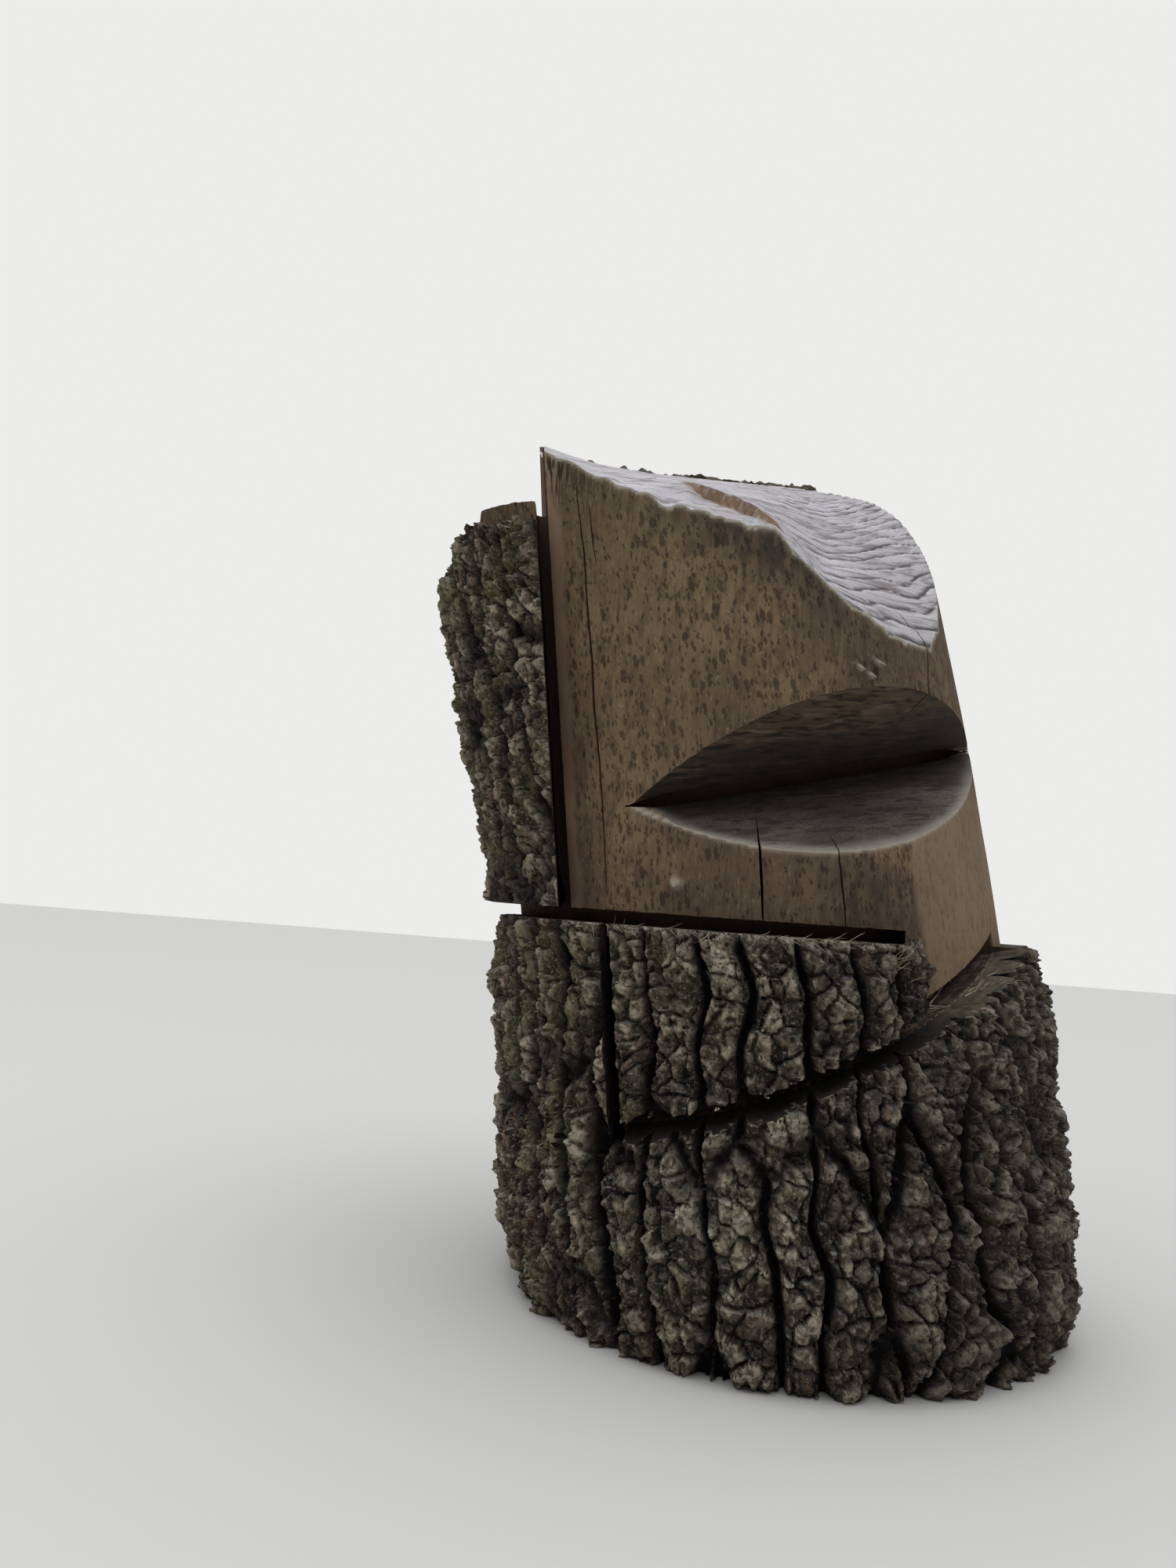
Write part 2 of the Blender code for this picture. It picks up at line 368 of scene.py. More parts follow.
def thick_sheet(
    name: str, columns: int, rows: int, face: Surface, back: Surface, fine_back: bool = False
) -> bpy.types.Object:
    """A closed slab shaped from a grid.

    Args:
        name: the object's name.
        columns: grid faces along s.
        rows: grid faces along t.
        face: where the slab's face is, for s and t from 0 to 1.
        back: where its back is.
        fine_back: whether the back has the face's grid, or is closed with one flat face.

    Returns:
        The slab.
    """
    deselect()
    bpy.ops.mesh.primitive_grid_add(x_subdivisions=columns, y_subdivisions=rows, size=1.0)
    slab = bpy.context.object
    slab.name = slab.data.name = name
    bpy.ops.object.mode_set(mode="EDIT")
    bpy.ops.mesh.select_mode(type="EDGE")
    if fine_back:
        bpy.ops.mesh.select_all(action="SELECT")
        bpy.ops.mesh.extrude_region_move()
    else:
        bpy.ops.mesh.select_all(action="DESELECT")
        bpy.ops.mesh.select_non_manifold()
        bpy.ops.mesh.extrude_edges_move()
        bpy.ops.mesh.edge_face_add()
    bpy.ops.mesh.select_mode(type="VERT")
    bpy.ops.object.mode_set(mode="OBJECT")
    points = points_of(slab)
    behind = np.empty(len(points), dtype=bool)
    slab.data.vertices.foreach_get("select", behind)
    s, t = points[:, 0] + 0.5, points[:, 1] + 0.5
    points[~behind] = face(s[~behind], t[~behind])
    points[behind] = back(s[behind], t[behind])
    move_points(slab, points)
    face_outwards(slab)
    return slab


def cut(obj: bpy.types.Object, cutters: Sequence[bpy.types.Object]) -> None:
    """Cuts each cutter's shape out of an object."""
    activate(obj)
    for cutter in cutters:
        modifier = obj.modifiers.new(cutter.name, "BOOLEAN")
        modifier.operation = "DIFFERENCE"
        modifier.solver = "MANIFOLD"
        modifier.object = cutter
        bpy.ops.object.modifier_apply(modifier=modifier.name)


def discard(objects: Sequence[bpy.types.Object]) -> None:
    """Removes cutters once they have been used."""
    for obj in objects:
        mesh = obj.data
        bpy.data.objects.remove(obj)
        bpy.data.meshes.remove(mesh)


def face_middles(obj: bpy.types.Object) -> Array:
    """The middle of each face."""
    flat = np.empty(len(obj.data.polygons) * 3)
    obj.data.polygons.foreach_get("center", flat)
    return flat.reshape(-1, 3)


def face_normals(obj: bpy.types.Object) -> Array:
    """The way each face points."""
    flat = np.empty(len(obj.data.polygons) * 3)
    obj.data.polygons.foreach_get("normal", flat)
    return flat.reshape(-1, 3)


def paint(obj: bpy.types.Object, name: str, values: Array) -> None:
    """Stores one number at each vertex for the materials to read."""
    layer = obj.data.attributes.new(name, "FLOAT", "POINT")
    layer.data.foreach_set("value", values.astype(np.float32))


def dress(obj: bpy.types.Object, materials: Sequence[bpy.types.Material], index: Array) -> None:
    """Gives an object its materials, and each face its own."""
    obj.data.materials.clear()
    for material in materials:
        obj.data.materials.append(material)
    obj.data.polygons.foreach_set("material_index", index.astype(np.int32))
    obj.data.update()


def settle(obj: bpy.types.Object, sharp: float) -> None:
    """Shades a finished piece and hangs it on the log."""
    activate(obj)
    bpy.ops.object.shade_smooth_by_angle(angle=math.radians(sharp))
    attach(obj, "root")
    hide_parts(NODE)
    LOG.info("%s: %d faces", obj.name, len(obj.data.polygons))


def steps(length: float, pitch: float) -> int:
    return max(2, round(length / (pitch * 1.0)))


# ---------------------------------------------------------------- saw cuts


@dataclass(frozen=True)
class Scoring:
    """Marks that a saw chain leaves on a cut face."""

    depth: float
    pitch: float
    seed: int
    roughness: float = 0.0004

    def at(self, along: Array, across: Array) -> Array:
        """Height of the marks for places on the cut, metres: they run along, side by side across."""
        bend = 0.35 * self.pitch * Ripple(40, 0.03, self.seed + 1).at(along, across)
        lane = (across + bend) / self.pitch
        number = np.floor(lane).astype(int)
        dice = np.random.default_rng(self.seed).random(4096)
        strength = 0.25 + 0.75 * dice[number % 4096]
        groove = (np.abs(lane - number - 0.5) * 2.0) ** 3
        return -self.depth * strength * groove + self.roughness * Roughness(
            250, 0.004, self.seed + 2
        ).at(along, across)


@dataclass
class SawCuts:
    """Makes the cutters, each in the shape of what the saw took away."""

    form: LogForm
    grain: float = 0.0028
    reach: float = 0.30
    top_reach: float = 0.28
    groove: float = math.radians(39.0)
    tear_line: float = -0.150
    tear_ends: tuple[float, float] = (-0.092, -0.018)
    column: float = 0.021
    left_depth_lost: float = 0.034
    left_shallow_from: float = degrees(-50.0)
    slope_widening: float = 1.45
    mouth_kerf_end: float = 0.121
    mouth_kerf_taper: float = 0.014

    def level_kerf(self) -> bpy.types.Object:
        """The flat cut from the left side round the front, which stops in an upright end."""
        form = self.form
        marks = Scoring(0.0006, 0.006, 11)
        start = degrees(-105.0)

        def place(s: Array, t: Array, height: float, side: float) -> Array:
            radius = form.kerf_floor + (self.reach - form.kerf_floor) * t
            end = np.arcsin((form.flap_right - form.axis_x(height)) / radius) / math.tau
            turn = start + (end - start) * s
            shallow = self.left_depth_lost * ease((self.left_shallow_from - turn) / degrees(14.0))
            radius = radius + shallow * (1.0 - t)
            points = form.point(turn, np.full(s.shape, height), radius)
            points[:, 2] += side * marks.at(points[:, 0], points[:, 1])
            return points

        return thick_sheet(
            "level_kerf",
            steps(0.5, self.grain),
            steps(self.reach - form.kerf_floor, self.grain),
            lambda s, t: place(s, t, form.level_cut, -1.0),
            lambda s, t: place(s, t, form.level_cut - form.kerf, 1.0),
            fine_back=True,
        )

    def slope_kerf(self) -> bpy.types.Object:
        """The sloping cut under the bark flap."""
        form = self.form
        marks = Scoring(0.0007, 0.007, 21)
        tilt = math.sqrt(1 + form.slope_right**2 + form.slope_back**2)
        inner = form.kerf_floor + 0.008
        first = form.flap_left_x(np.array(form.flap_foot)) - form.kerf / 2
        last = degrees(67.0)

        def place(s: Array, t: Array, drop: float, side: float) -> Array:
            radius = inner + (self.reach - inner) * t
            start = np.arcsin((first - form.axis_x(0.13)) / radius) / math.tau
            turn = start + (last - start) * s
            z = form.slope_at(turn, radius) - drop
            points = form.point(turn, z, radius)
            points[:, 2] += side * marks.at(points[:, 0], points[:, 1] + points[:, 2])
            return points

        return thick_sheet(
            "slope_kerf",
            steps(0.4, self.grain),
            steps(self.reach - inner, self.grain),
            lambda s, t: place(s, t, 0.0, -1.0),
            lambda s, t: place(s, t, form.kerf * tilt * self.slope_widening, 1.0),
            fine_back=True,
        )

    def flap_kerf(self) -> bpy.types.Object:
        """The upright cut at the flap's left edge."""
        form = self.form
        marks = Scoring(0.0005, 0.006, 31)

        def place(s: Array, t: Array, side: float) -> Array:
            y = -self.reach + (self.reach + form.flap_kerf_back) * s
            z = form.flap_foot + (form.level_cut - 0.003 - form.flap_foot) * t
            x = form.flap_left_x(z) - (form.kerf if side > 0 else 0.0)
            return np.stack([x + side * marks.at(z, y), y, z], -1)

        return thick_sheet(
            "flap_kerf",
            steps(0.145, self.grain),
            steps(0.15, self.grain),
            lambda s, t: place(s, t, -1.0),
            lambda s, t: place(s, t, 1.0),
            fine_back=True,
        )

    def side_kerf(self, peeled: float = 0.0) -> bpy.types.Object:
        """The upright cut between the bark slab and the peeled side, with a width peeled beside it."""
        form = self.form
        marks = Scoring(0.0004, 0.008, 41)

        def place(s: Array, t: Array, side: float) -> Array:
            y = -self.reach + (self.reach + form.side_kerf_back) * s
            z = form.level_cut - form.kerf / 2 + 0.55 * t
            x = form.side_x(y, z) + (-form.kerf if side > 0 else peeled)
            return np.stack([x + side * marks.at(z, y), y, z], -1)

        return thick_sheet(
            "side_kerf",
            steps(0.20, self.grain),
            steps(0.55, self.grain * 1.4),
            lambda s, t: place(s, t, -1.0),
            lambda s, t: place(s, t, 1.0),
            fine_back=True,
        )

    def shoulder(self, raise_by: float, ragged: float, name: str) -> bpy.types.Object:
        """What was taken off the top of the slab left of that kerf."""
        form = self.form
        marks = Scoring(0.0008, 0.009, 51)

        def wall(y: Array, z: Array) -> Array:
            return form.side_x(y, z) - 0.0015

        def floor(s: Array, t: Array) -> Array:
            y = -self.reach + 2 * self.reach * t
            z = form.shoulder + raise_by + form.shoulder_rise * (y - form.side_cut[1])
            x = -0.42 + (wall(y, z) + 0.42) * s
            z = z + marks.at(y, x)
            z = z + ragged * Roughness(60, 0.02, 52).at(x, y)
            lane = (x + 0.298) / self.column
            stair = self.column * (np.floor(lane) + ease(3.0 * (lane - np.floor(lane))))
            corner = 0.515 + raise_by + 0.9 * stair + ragged * Roughness(50, 0.016, 53).at(y, x)
            return np.stack([x, y, np.minimum(z, corner)], -1)

        def lid(s: Array, t: Array) -> Array:
            y = -self.reach + 2 * self.reach * t
            z = np.full(s.shape, 0.9)
            return np.stack([-0.42 + (wall(y, z) + 0.42) * s, y, z], -1)

        return thick_sheet(
            name, steps(0.25, self.grain), steps(0.6, self.grain), floor, lid, fine_back=True
        )

    def flap_break(self) -> bpy.types.Object:
        """The bark broken and peeled off to the right of the flap, above the sloping cut."""
        form = self.form
        last = degrees(150.0)

        def place(s: Array, t: Array, radius: float) -> Array:
            low_turn = degrees(32.0) + (last - degrees(32.0)) * s
            z0 = np.minimum(
                form.slope_at(low_turn, np.full(s.shape, 0.2)) - form.kerf / 2, form.level_cut - 0.006
            )
            z = z0 + (0.33 - z0) * t
            reach = np.full(s.shape, radius)
            edge = form.flap_right_x(z) + 0.006 * Roughness(70, 0.012, 61).at(z, z * 0.0 + 0.3)
            start = np.arcsin(np.clip((edge - form.axis_x(z)) / 0.208, -1, 1)) / math.tau
            turn = start + (last - start) * s
            low = form.slope_at(turn, reach) - form.kerf / 2
            level = form.level_cut - 0.006 + 0.0022 * Roughness(80, 0.03, 62).at(turn, reach)
            z = np.where(t < 1e-6, np.minimum(low, level), np.minimum(low, level) * (1 - t) + 0.33 * t)
            return form.point(turn, z, reach)

        return thick_sheet(
            "flap_break",
            steps(0.45, self.grain),
            steps(0.12, self.grain),
            lambda s, t: place(s, t, self.reach),
            lambda s, t: place(s, t, 0.165),
            fine_back=True,
        )

    def mouth(self) -> bpy.types.Object:
        """The notch, with the kerf that runs past its inmost edge."""
        form = self.form
        roof_marks = Scoring(0.0015, 0.008, 71)
        floor_marks = Scoring(0.0009, 0.012, 72)
        length = math.hypot(1.0, form.mouth_back)
        x0, y0, _ = form.mouth_edge

        def spot(s: Array, t: Array) -> tuple[Array, Array, Array]:
            out = -form.mouth_kerf_in + (form.mouth_kerf_in + 0.20) * t**1.3
            start = form.mouth_left - form.mouth_back * out / length
            along = start + (0.34 - start) * s
            x = x0 + along + form.mouth_back / length * out
            y = y0 + form.mouth_back * along - out / length
            return x, y, out

        def narrow(s: Array, x: Array) -> Array:
            closing = np.clip((self.mouth_kerf_end - x) / self.mouth_kerf_taper, 0.05, 1.0)
            return form.kerf / 2 * np.clip(s / 0.05, 0.1, 1.0) * closing

        def roof(s: Array, t: Array) -> Array:
            x, y, out = spot(s, t)
            lift = np.maximum(narrow(s, x), form.mouth_roof * out)
            z = form.mouth_z(x, y) + lift - roof_marks.at(x + 0.7 * y, out + 0.1 * x)
            return np.stack([x, y, z], -1)

        def bed(s: Array, t: Array) -> Array:
            x, y, out = spot(s, t)
            open_up = 0.30 + 0.70 * ease((x + 0.104) / 0.026)
            drop = np.maximum(narrow(s, x), form.mouth_floor * out * open_up)
            z = form.mouth_z(x, y) - drop + floor_marks.at(x + 0.7 * y, out)
            return np.stack([x, y, z], -1)

        return thick_sheet(
            "mouth", steps(0.5, 0.0026), steps(0.23, 0.0026), roof, bed, fine_back=True
        )

    def top(self) -> bpy.types.Object:
        """Everything above the slanting cut. Its grid is fine across the saw's grooves."""
        return thick_sheet(
            "top_cut",
            steps(2 * self.top_reach, 0.0046),
            steps(2 * self.top_reach, 0.0015),
            lambda s, t: self.top_points(s, t, 0.0),
            lambda s, t: self.top_points(s, t, 1.0),
        )

    def rim(self) -> bpy.types.Object:
        """The same cut through the bark, which tears and stands up ragged behind the wood."""

        def face(s: Array, t: Array) -> Array:
            points = self.top_points(s, t, 0.0)
            ragged = Roughness(55, 0.014, 85).at(points[:, 0], points[:, 1])
            tufts = np.clip(Roughness(110, 0.009, 86).at(points[:, 0], points[:, 1]), 0.0, 1.0)
            points[:, 2] += 0.0022 * ragged + 0.0060 * tufts * ease(points[:, 1] / 0.1) - 0.0005
            return points

        return thick_sheet(
            "rim_cut",
            steps(2 * self.top_reach, 0.0042),
            steps(2 * self.top_reach, 0.0042),
            face,
            lambda s, t: self.top_points(s, t, 1.0),
        )

    def top_points(self, s: Array, t: Array, lid: float) -> Array:
        """Points on the slanting cut, or level with its lid; s runs along the saw's grooves."""
        form = self.form
        along, across = (2 * s - 1) * self.top_reach, (2 * t - 1) * self.top_reach
        x = form.top_centre[0] + along * math.cos(self.groove) - across * math.sin(self.groove)
        y = form.top_centre[1] + along * math.sin(self.groove) + across * math.cos(self.groove)
        z = np.full(s.shape, lid) if lid else form.top_z(x, y) + self.top_marks(x, y)
        return np.stack([x, y, z], -1)

    def scoring(self, x: Array, y: Array) -> Array:
        """The saw's grooves in the slanting cut, which fan out to the front."""
        along = x * math.cos(self.groove) + y * math.sin(self.groove)
        across = -x * math.sin(self.groove) + y * math.cos(self.groove)
        fan = across * (1.0 + 1.6 * along) + 0.007 * Roughness(12, 0.07, 84).at(along, across)
        clean = 0.35 + 0.65 * ease((x + 0.10) / 0.10)
        coarse = Scoring(0.0040, 0.0118, 81, 0.0007).at(along, fan)
        fine = Scoring(0.0014, 0.0046, 82).at(along, fan + 0.35 * along)
        return clean * (coarse + fine)

    def top_marks(self, x: Array, y: Array) -> Array:
        """All that the slanting cut has on top of its broad shape."""
        broad = 0.0016 * Roughness(12, 0.05, 83, 2).at(x, y)
        return self.scoring(x, y) + broad + self.splinter(x, y)

    def splinter(self, x: Array, y: Array) -> Array:
        """The raised part of the front rim, where the last of the wood tore along a low step."""
        low = np.interp(x, (-0.13, -0.09, -0.075, -0.045, -0.025, -0.003), (0, 0, 1.5, 5.5, 11, 0))
        foot = np.interp(
            x, (-0.23, -0.13, -0.088, -0.078, -0.045, -0.025, 0.01), (3, 9, 19, 12, 14.5, 18.5, 0)
        )
        tear = np.interp(x, (-0.088, -0.079, -0.045, -0.021), (0, 9, 9.5, 0))
        edge = self.tear_line + 0.0016 * Ripple(160, 0.5, 87).at(x, 0.0 * x)
        ahead = low + (foot - low) * np.clip((y + 0.19) / (edge + 0.19), 0.0, 1.0)
        behind = (foot + tear) * np.clip((0.16 - y) / (0.16 - edge), 0.0, 1.0)
        notch = 5.0 * bell(x + 0.1005, 0.0045) * ease((-0.165 - y) / 0.02)
        teeth = 1.5 * Ripple(210, 0.5, 88).at(x, 0.0 * x) * ease((-0.160 - y) / 0.015) * (x < -0.03)
        past = ease((y - edge) / 0.0014 + 0.5)
        return 0.001 * (ahead * (1 - past) + behind * past - notch + teeth)


@dataclass(frozen=True)
class Crack:
    """A drying crack, which runs up the wood and in towards its middle."""

    path: tuple[tuple[float, float], ...]
    width: float
    depth: float
    seed: int

    def blade(self, form: LogForm, number: int) -> bpy.types.Object:
        """The thin wedge that opens the crack. Its path is degrees round the log and heights."""
        angles = np.array([spot[0] for spot in self.path])
        heights = np.array([spot[1] for spot in self.path])
        length = abs(heights[-1] - heights[0])

        def place(s: Array, t: Array, side: float) -> Array:
            z = heights[0] + (heights[-1] - heights[0]) * s
            order = np.argsort(heights)
            angle = np.interp(z, heights[order], angles[order]) / 360.0
            wander = 0.0007 * Ripple(9, 0.035, self.seed).at(z * 0.0 + 0.3, z)
            wander = wander + 0.0003 * Ripple(9, 0.005, self.seed + 1).at(z * 0.0 + 0.6, z)
            taper = np.sqrt(np.clip(np.minimum(s, 1.0 - s) * 2.0, 0.0, 1.0))
            thin = 1.0 - t * 0.92
            half = 0.5 * self.width * (0.15 + 0.85 * taper) * thin
            radius = form.wood_at(z) + 0.006 - (self.depth + 0.006) * t
            turn = angle + (wander + side * half) / form.wood_radius / math.tau
            return form.point(turn, z, radius)

        return thick_sheet(
            f"crack_{number}",
            steps(length, 0.004),
            6,
            lambda s, t: place(s, t, 1.0),
            lambda s, t: place(s, t, -1.0),
            fine_back=True,
        )


CRACKS = (
    Crack(((-19.5, 0.575), (-22.5, 0.50), (-26.0, 0.419), (-29.7, 0.288)), 0.0026, 0.035, 1),
    Crack(((57.9, 0.515), (57.8, 0.486), (52.9, 0.440), (52.0, 0.40)), 0.0022, 0.055, 2),
    Crack(((6.0, 0.352), (5.1, 0.331), (3.7, 0.272)), 0.0022, 0.045, 3),
    Crack(((21.8, 0.340), (21.1, 0.325), (20.5, 0.272)), 0.0018, 0.040, 4),
    Crack(((64.4, 0.345), (64.4, 0.268)), 0.0010, 0.015, 5),
    Crack(((-17.8, 0.560), (-18.9, 0.515)), 0.0014, 0.020, 6),
)


# ---------------------------------------------------------------- materials


class Wiring:
    """Places and joins the nodes of one material, group or sky."""

    def __init__(self, tree: bpy.types.NodeTree) -> None:
        """Starts from an empty tree."""
        self.tree = tree
        tree.nodes.clear()

    def node(self, kind: str, inputs: dict | None = None, **settings: object) -> bpy.types.Node:
        """Adds a node.

        Args:
            kind: the node's type, without the ShaderNode in front.
            inputs: what goes in each socket, a value or another node's socket.
            settings: the node's own settings.

        Returns:
            The node.
        """
        made = self.tree.nodes.new("ShaderNode" + kind)
        for name, value in settings.items():
            setattr(made, name, value)
        for name, value in (inputs or {}).items():
            socket = made.inputs[name]
            if isinstance(value, bpy.types.NodeSocket):
                self.tree.links.new(value, socket)
            else:
                socket.default_value = value
        return made

    def math(self, operation: str, a: object, b: object = 0.0, clamp: bool = False) -> object:
        """One sum on two values."""
        made = self.node("Math", {0: a, 1: b}, operation=operation, use_clamp=clamp)
        return made.outputs[0]

    def times(self, *values: object) -> object:
        """All the values multiplied."""
        total = values[0]
        for value in values[1:]:
            total = self.math("MULTIPLY", total, value)
        return total

    def span(
        self, value: object, low: float, high: float, out_low: float = 0.0, out_high: float = 1.0
    ) -> object:
        """A value carried smoothly from one range to another."""
        sockets = {"Value": value, "From Min": low, "From Max": high, "To Min": out_low, "To Max": out_high}
        made = self.node("MapRange", sockets, interpolation_type="SMOOTHSTEP")
        return made.outputs["Result"]

    def mix(self, amount: object, a: object, b: object, blend: str = "MIX") -> object:
        """Two colours mixed."""
        made = self.node("Mix", {0: amount, 6: a, 7: b}, data_type="RGBA", blend_type=blend)
        return made.outputs[2]

    def stretch(self, vector: object, scale: tuple[float, float, float]) -> object:
        """Coordinates multiplied along each axis."""
        return self.node("Mapping", {"Vector": vector, "Scale": scale}).outputs[0]

    def noise(self, vector: object, scale: float, detail: float = 4.0, bend: float = 0.0) -> object:
        """Noise from 0 to 1."""
        sockets = {"Vector": vector, "Scale": scale, "Detail": detail, "Distortion": bend}
        return self.node("TexNoise", sockets).outputs[0]

    def attribute(self, name: str) -> object:
        """A number stored at the piece's vertices."""
        return self.node("Attribute", attribute_name=name).outputs["Fac"]

    def place(self) -> object:
        """Coordinates fixed to the log, in metres."""
        return self.node("TexCoord").outputs["Object"]

    def group(self, tree: bpy.types.NodeTree, inputs: dict) -> bpy.types.Node:
        """Places a shared effect."""
        made = self.node("Group", node_tree=tree)
        for name, value in inputs.items():
            if isinstance(value, bpy.types.NodeSocket):
                self.tree.links.new(value, made.inputs[name])
            else:
                made.inputs[name].default_value = value
        return made


def colour(red: float, algae_and_shade: float, blue: float) -> tuple[float, float, float, float]:
    """A colour from its display values, 0 to 255, as light."""
    parts = []
    for part in (red, algae_and_shade, blue):
        share = part / 255.0
        parts.append(share / 12.92 if share <= 0.04045 else ((share + 0.055) / 1.055) ** 2.4)
    return (parts[0], parts[1], parts[2], 1.0)


def new_group(name: str, inputs: dict[str, object], outputs: Sequence[str]) -> tuple[Wiring, object, object]:
    """An empty effect with named sockets.

    Args:
        name: the group's name.
        inputs: each input's default; a number, or None for a vector.
        outputs: the outputs, all numbers.

    Returns:
        Its wiring, its input node and its output node.
    """
    tree = bpy.data.node_groups.new(name, "ShaderNodeTree")
    for label, default in inputs.items():
        kind = "NodeSocketVector" if default is None else "NodeSocketFloat"
        socket = tree.interface.new_socket(label, in_out="INPUT", socket_type=kind)
        if default is not None:
            socket.default_value = default
    for label in outputs:
        tree.interface.new_socket(label, in_out="OUTPUT", socket_type="NodeSocketFloat")
    wiring = Wiring(tree)
    source = tree.nodes.new("NodeGroupInput")
    sink = tree.nodes.new("NodeGroupOutput")
    return wiring, source, sink


class Effects:
    """Effects that several of the log's finishes share."""

    def __init__(self) -> None:
        """Builds each effect once."""
        self.grain = self.build_grain()
        self.flecks = self.build_flecks()
        self.dust = self.build_dust()

    def build_grain(self) -> bpy.types.NodeTree:
        """Fibres that run up the log: broad streaks, fine streaks and their height for a bump."""
        w, source, sink = new_group(
            "grain", {"Place": None, "Width": 260.0, "Length": 9.0}, ("Streak", "Fine", "Height")
        )
        width, length = source.outputs["Width"], source.outputs["Length"]
        scale = w.node("CombineXYZ", {"X": width, "Y": width, "Z": length}).outputs[0]
        fine_at = w.node("VectorMath", {0: source.outputs["Place"], 1: scale}, operation="MULTIPLY")
        fine = w.noise(fine_at.outputs[0], 1.0, 5.0, 0.4)
        broad_at = w.node("VectorMath", {0: fine_at.outputs[0], "Scale": 0.14}, operation="SCALE")
        streak = w.noise(broad_at.outputs[0], 1.0, 4.0, 0.8)
        height = w.math("ADD", w.times(fine, 0.6), w.times(streak, 0.4))
        for label, value in (("Streak", streak), ("Fine", fine), ("Height", height)):
            w.tree.links.new(value, sink.inputs[label])
        return w.tree

    def build_flecks(self) -> bpy.types.NodeTree:
        """Small upright spindle-shaped marks scattered over a peeled surface."""
        w, source, sink = new_group("flecks", {"Place": None, "Amount": 0.5}, ("Mask",))
        parts = w.node("SeparateXYZ", {0: source.outputs["Place"]})
        flat = w.node("CombineXYZ", {"X": w.attribute("arc"), "Y": parts.outputs["Z"]}).outputs[0]
        wobble = w.times(w.math("SUBTRACT", w.noise(flat, 300.0, 5.0), 0.5), 0.0050)
        moved = w.node("VectorMath", {0: flat, 1: wobble}, operation="ADD").outputs[0]
        mask = 0.0
        for width, height, reach, share in ((165.0, 62.0, 0.34, 0.75), (330.0, 140.0, 0.40, 1.2)):
            grid = w.stretch(moved, (width, height, 1.0))
            cells = w.node("TexVoronoi", {"Vector": grid, "Scale": 1.0}, voronoi_dimensions="2D")
            dice = w.node("SeparateColor", {0: cells.outputs["Color"]})
            amount = w.times(source.outputs["Amount"], share)
            chosen = w.math("LESS_THAN", dice.outputs[0], amount)
            size = w.math("ADD", w.times(dice.outputs[1], reach), 0.06)
            core = w.math("SUBTRACT", 1.0, w.math("DIVIDE", cells.outputs["Distance"], size))
            mask = w.math("MAXIMUM", w.times(chosen, w.span(core, 0.0, 0.3)), mask)
        w.tree.links.new(mask, sink.inputs["Mask"])
        return w.tree

    def build_dust(self) -> bpy.types.NodeTree:
        """Pale dust that lies where a surface faces up, broken into patches."""
        w, source, sink = new_group("dust", {"Place": None, "Amount": 0.5}, ("Mask",))
        normal = w.node("NewGeometry").outputs["Normal"]
        up = w.node("SeparateXYZ", {0: normal}).outputs["Z"]
        patches = w.span(w.noise(source.outputs["Place"], 160.0, 5.0), 0.35, 0.7)
        lying = w.span(up, 0.15, 0.9)
        mask = w.times(lying, patches, source.outputs["Amount"])
        w.tree.links.new(mask, sink.inputs["Mask"])
        return w.tree


@dataclass(frozen=True)
class Finish:
    """A surface of the log: its name and the effects it may use."""

    name: str
    effects: Effects

    def material(self) -> bpy.types.Material:
        """The finished material."""
        made = bpy.data.materials.new(self.name)
        made.use_nodes = True
        w = Wiring(made.node_tree)
        base, rough, normal = self.surface(w)
        shader = w.node(
            "BsdfPrincipled",
            {"Base Color": base, "Roughness": rough, "Normal": normal, "Specular IOR Level": 0.25},
        )
        output = w.tree.nodes.new("ShaderNodeOutputMaterial")
        w.tree.links.new(shader.outputs[0], output.inputs[0])
        return made

    def surface(self, w: Wiring) -> tuple[object, object, object]:
        """Colour, roughness and normal of the finish."""
        raise NotImplementedError


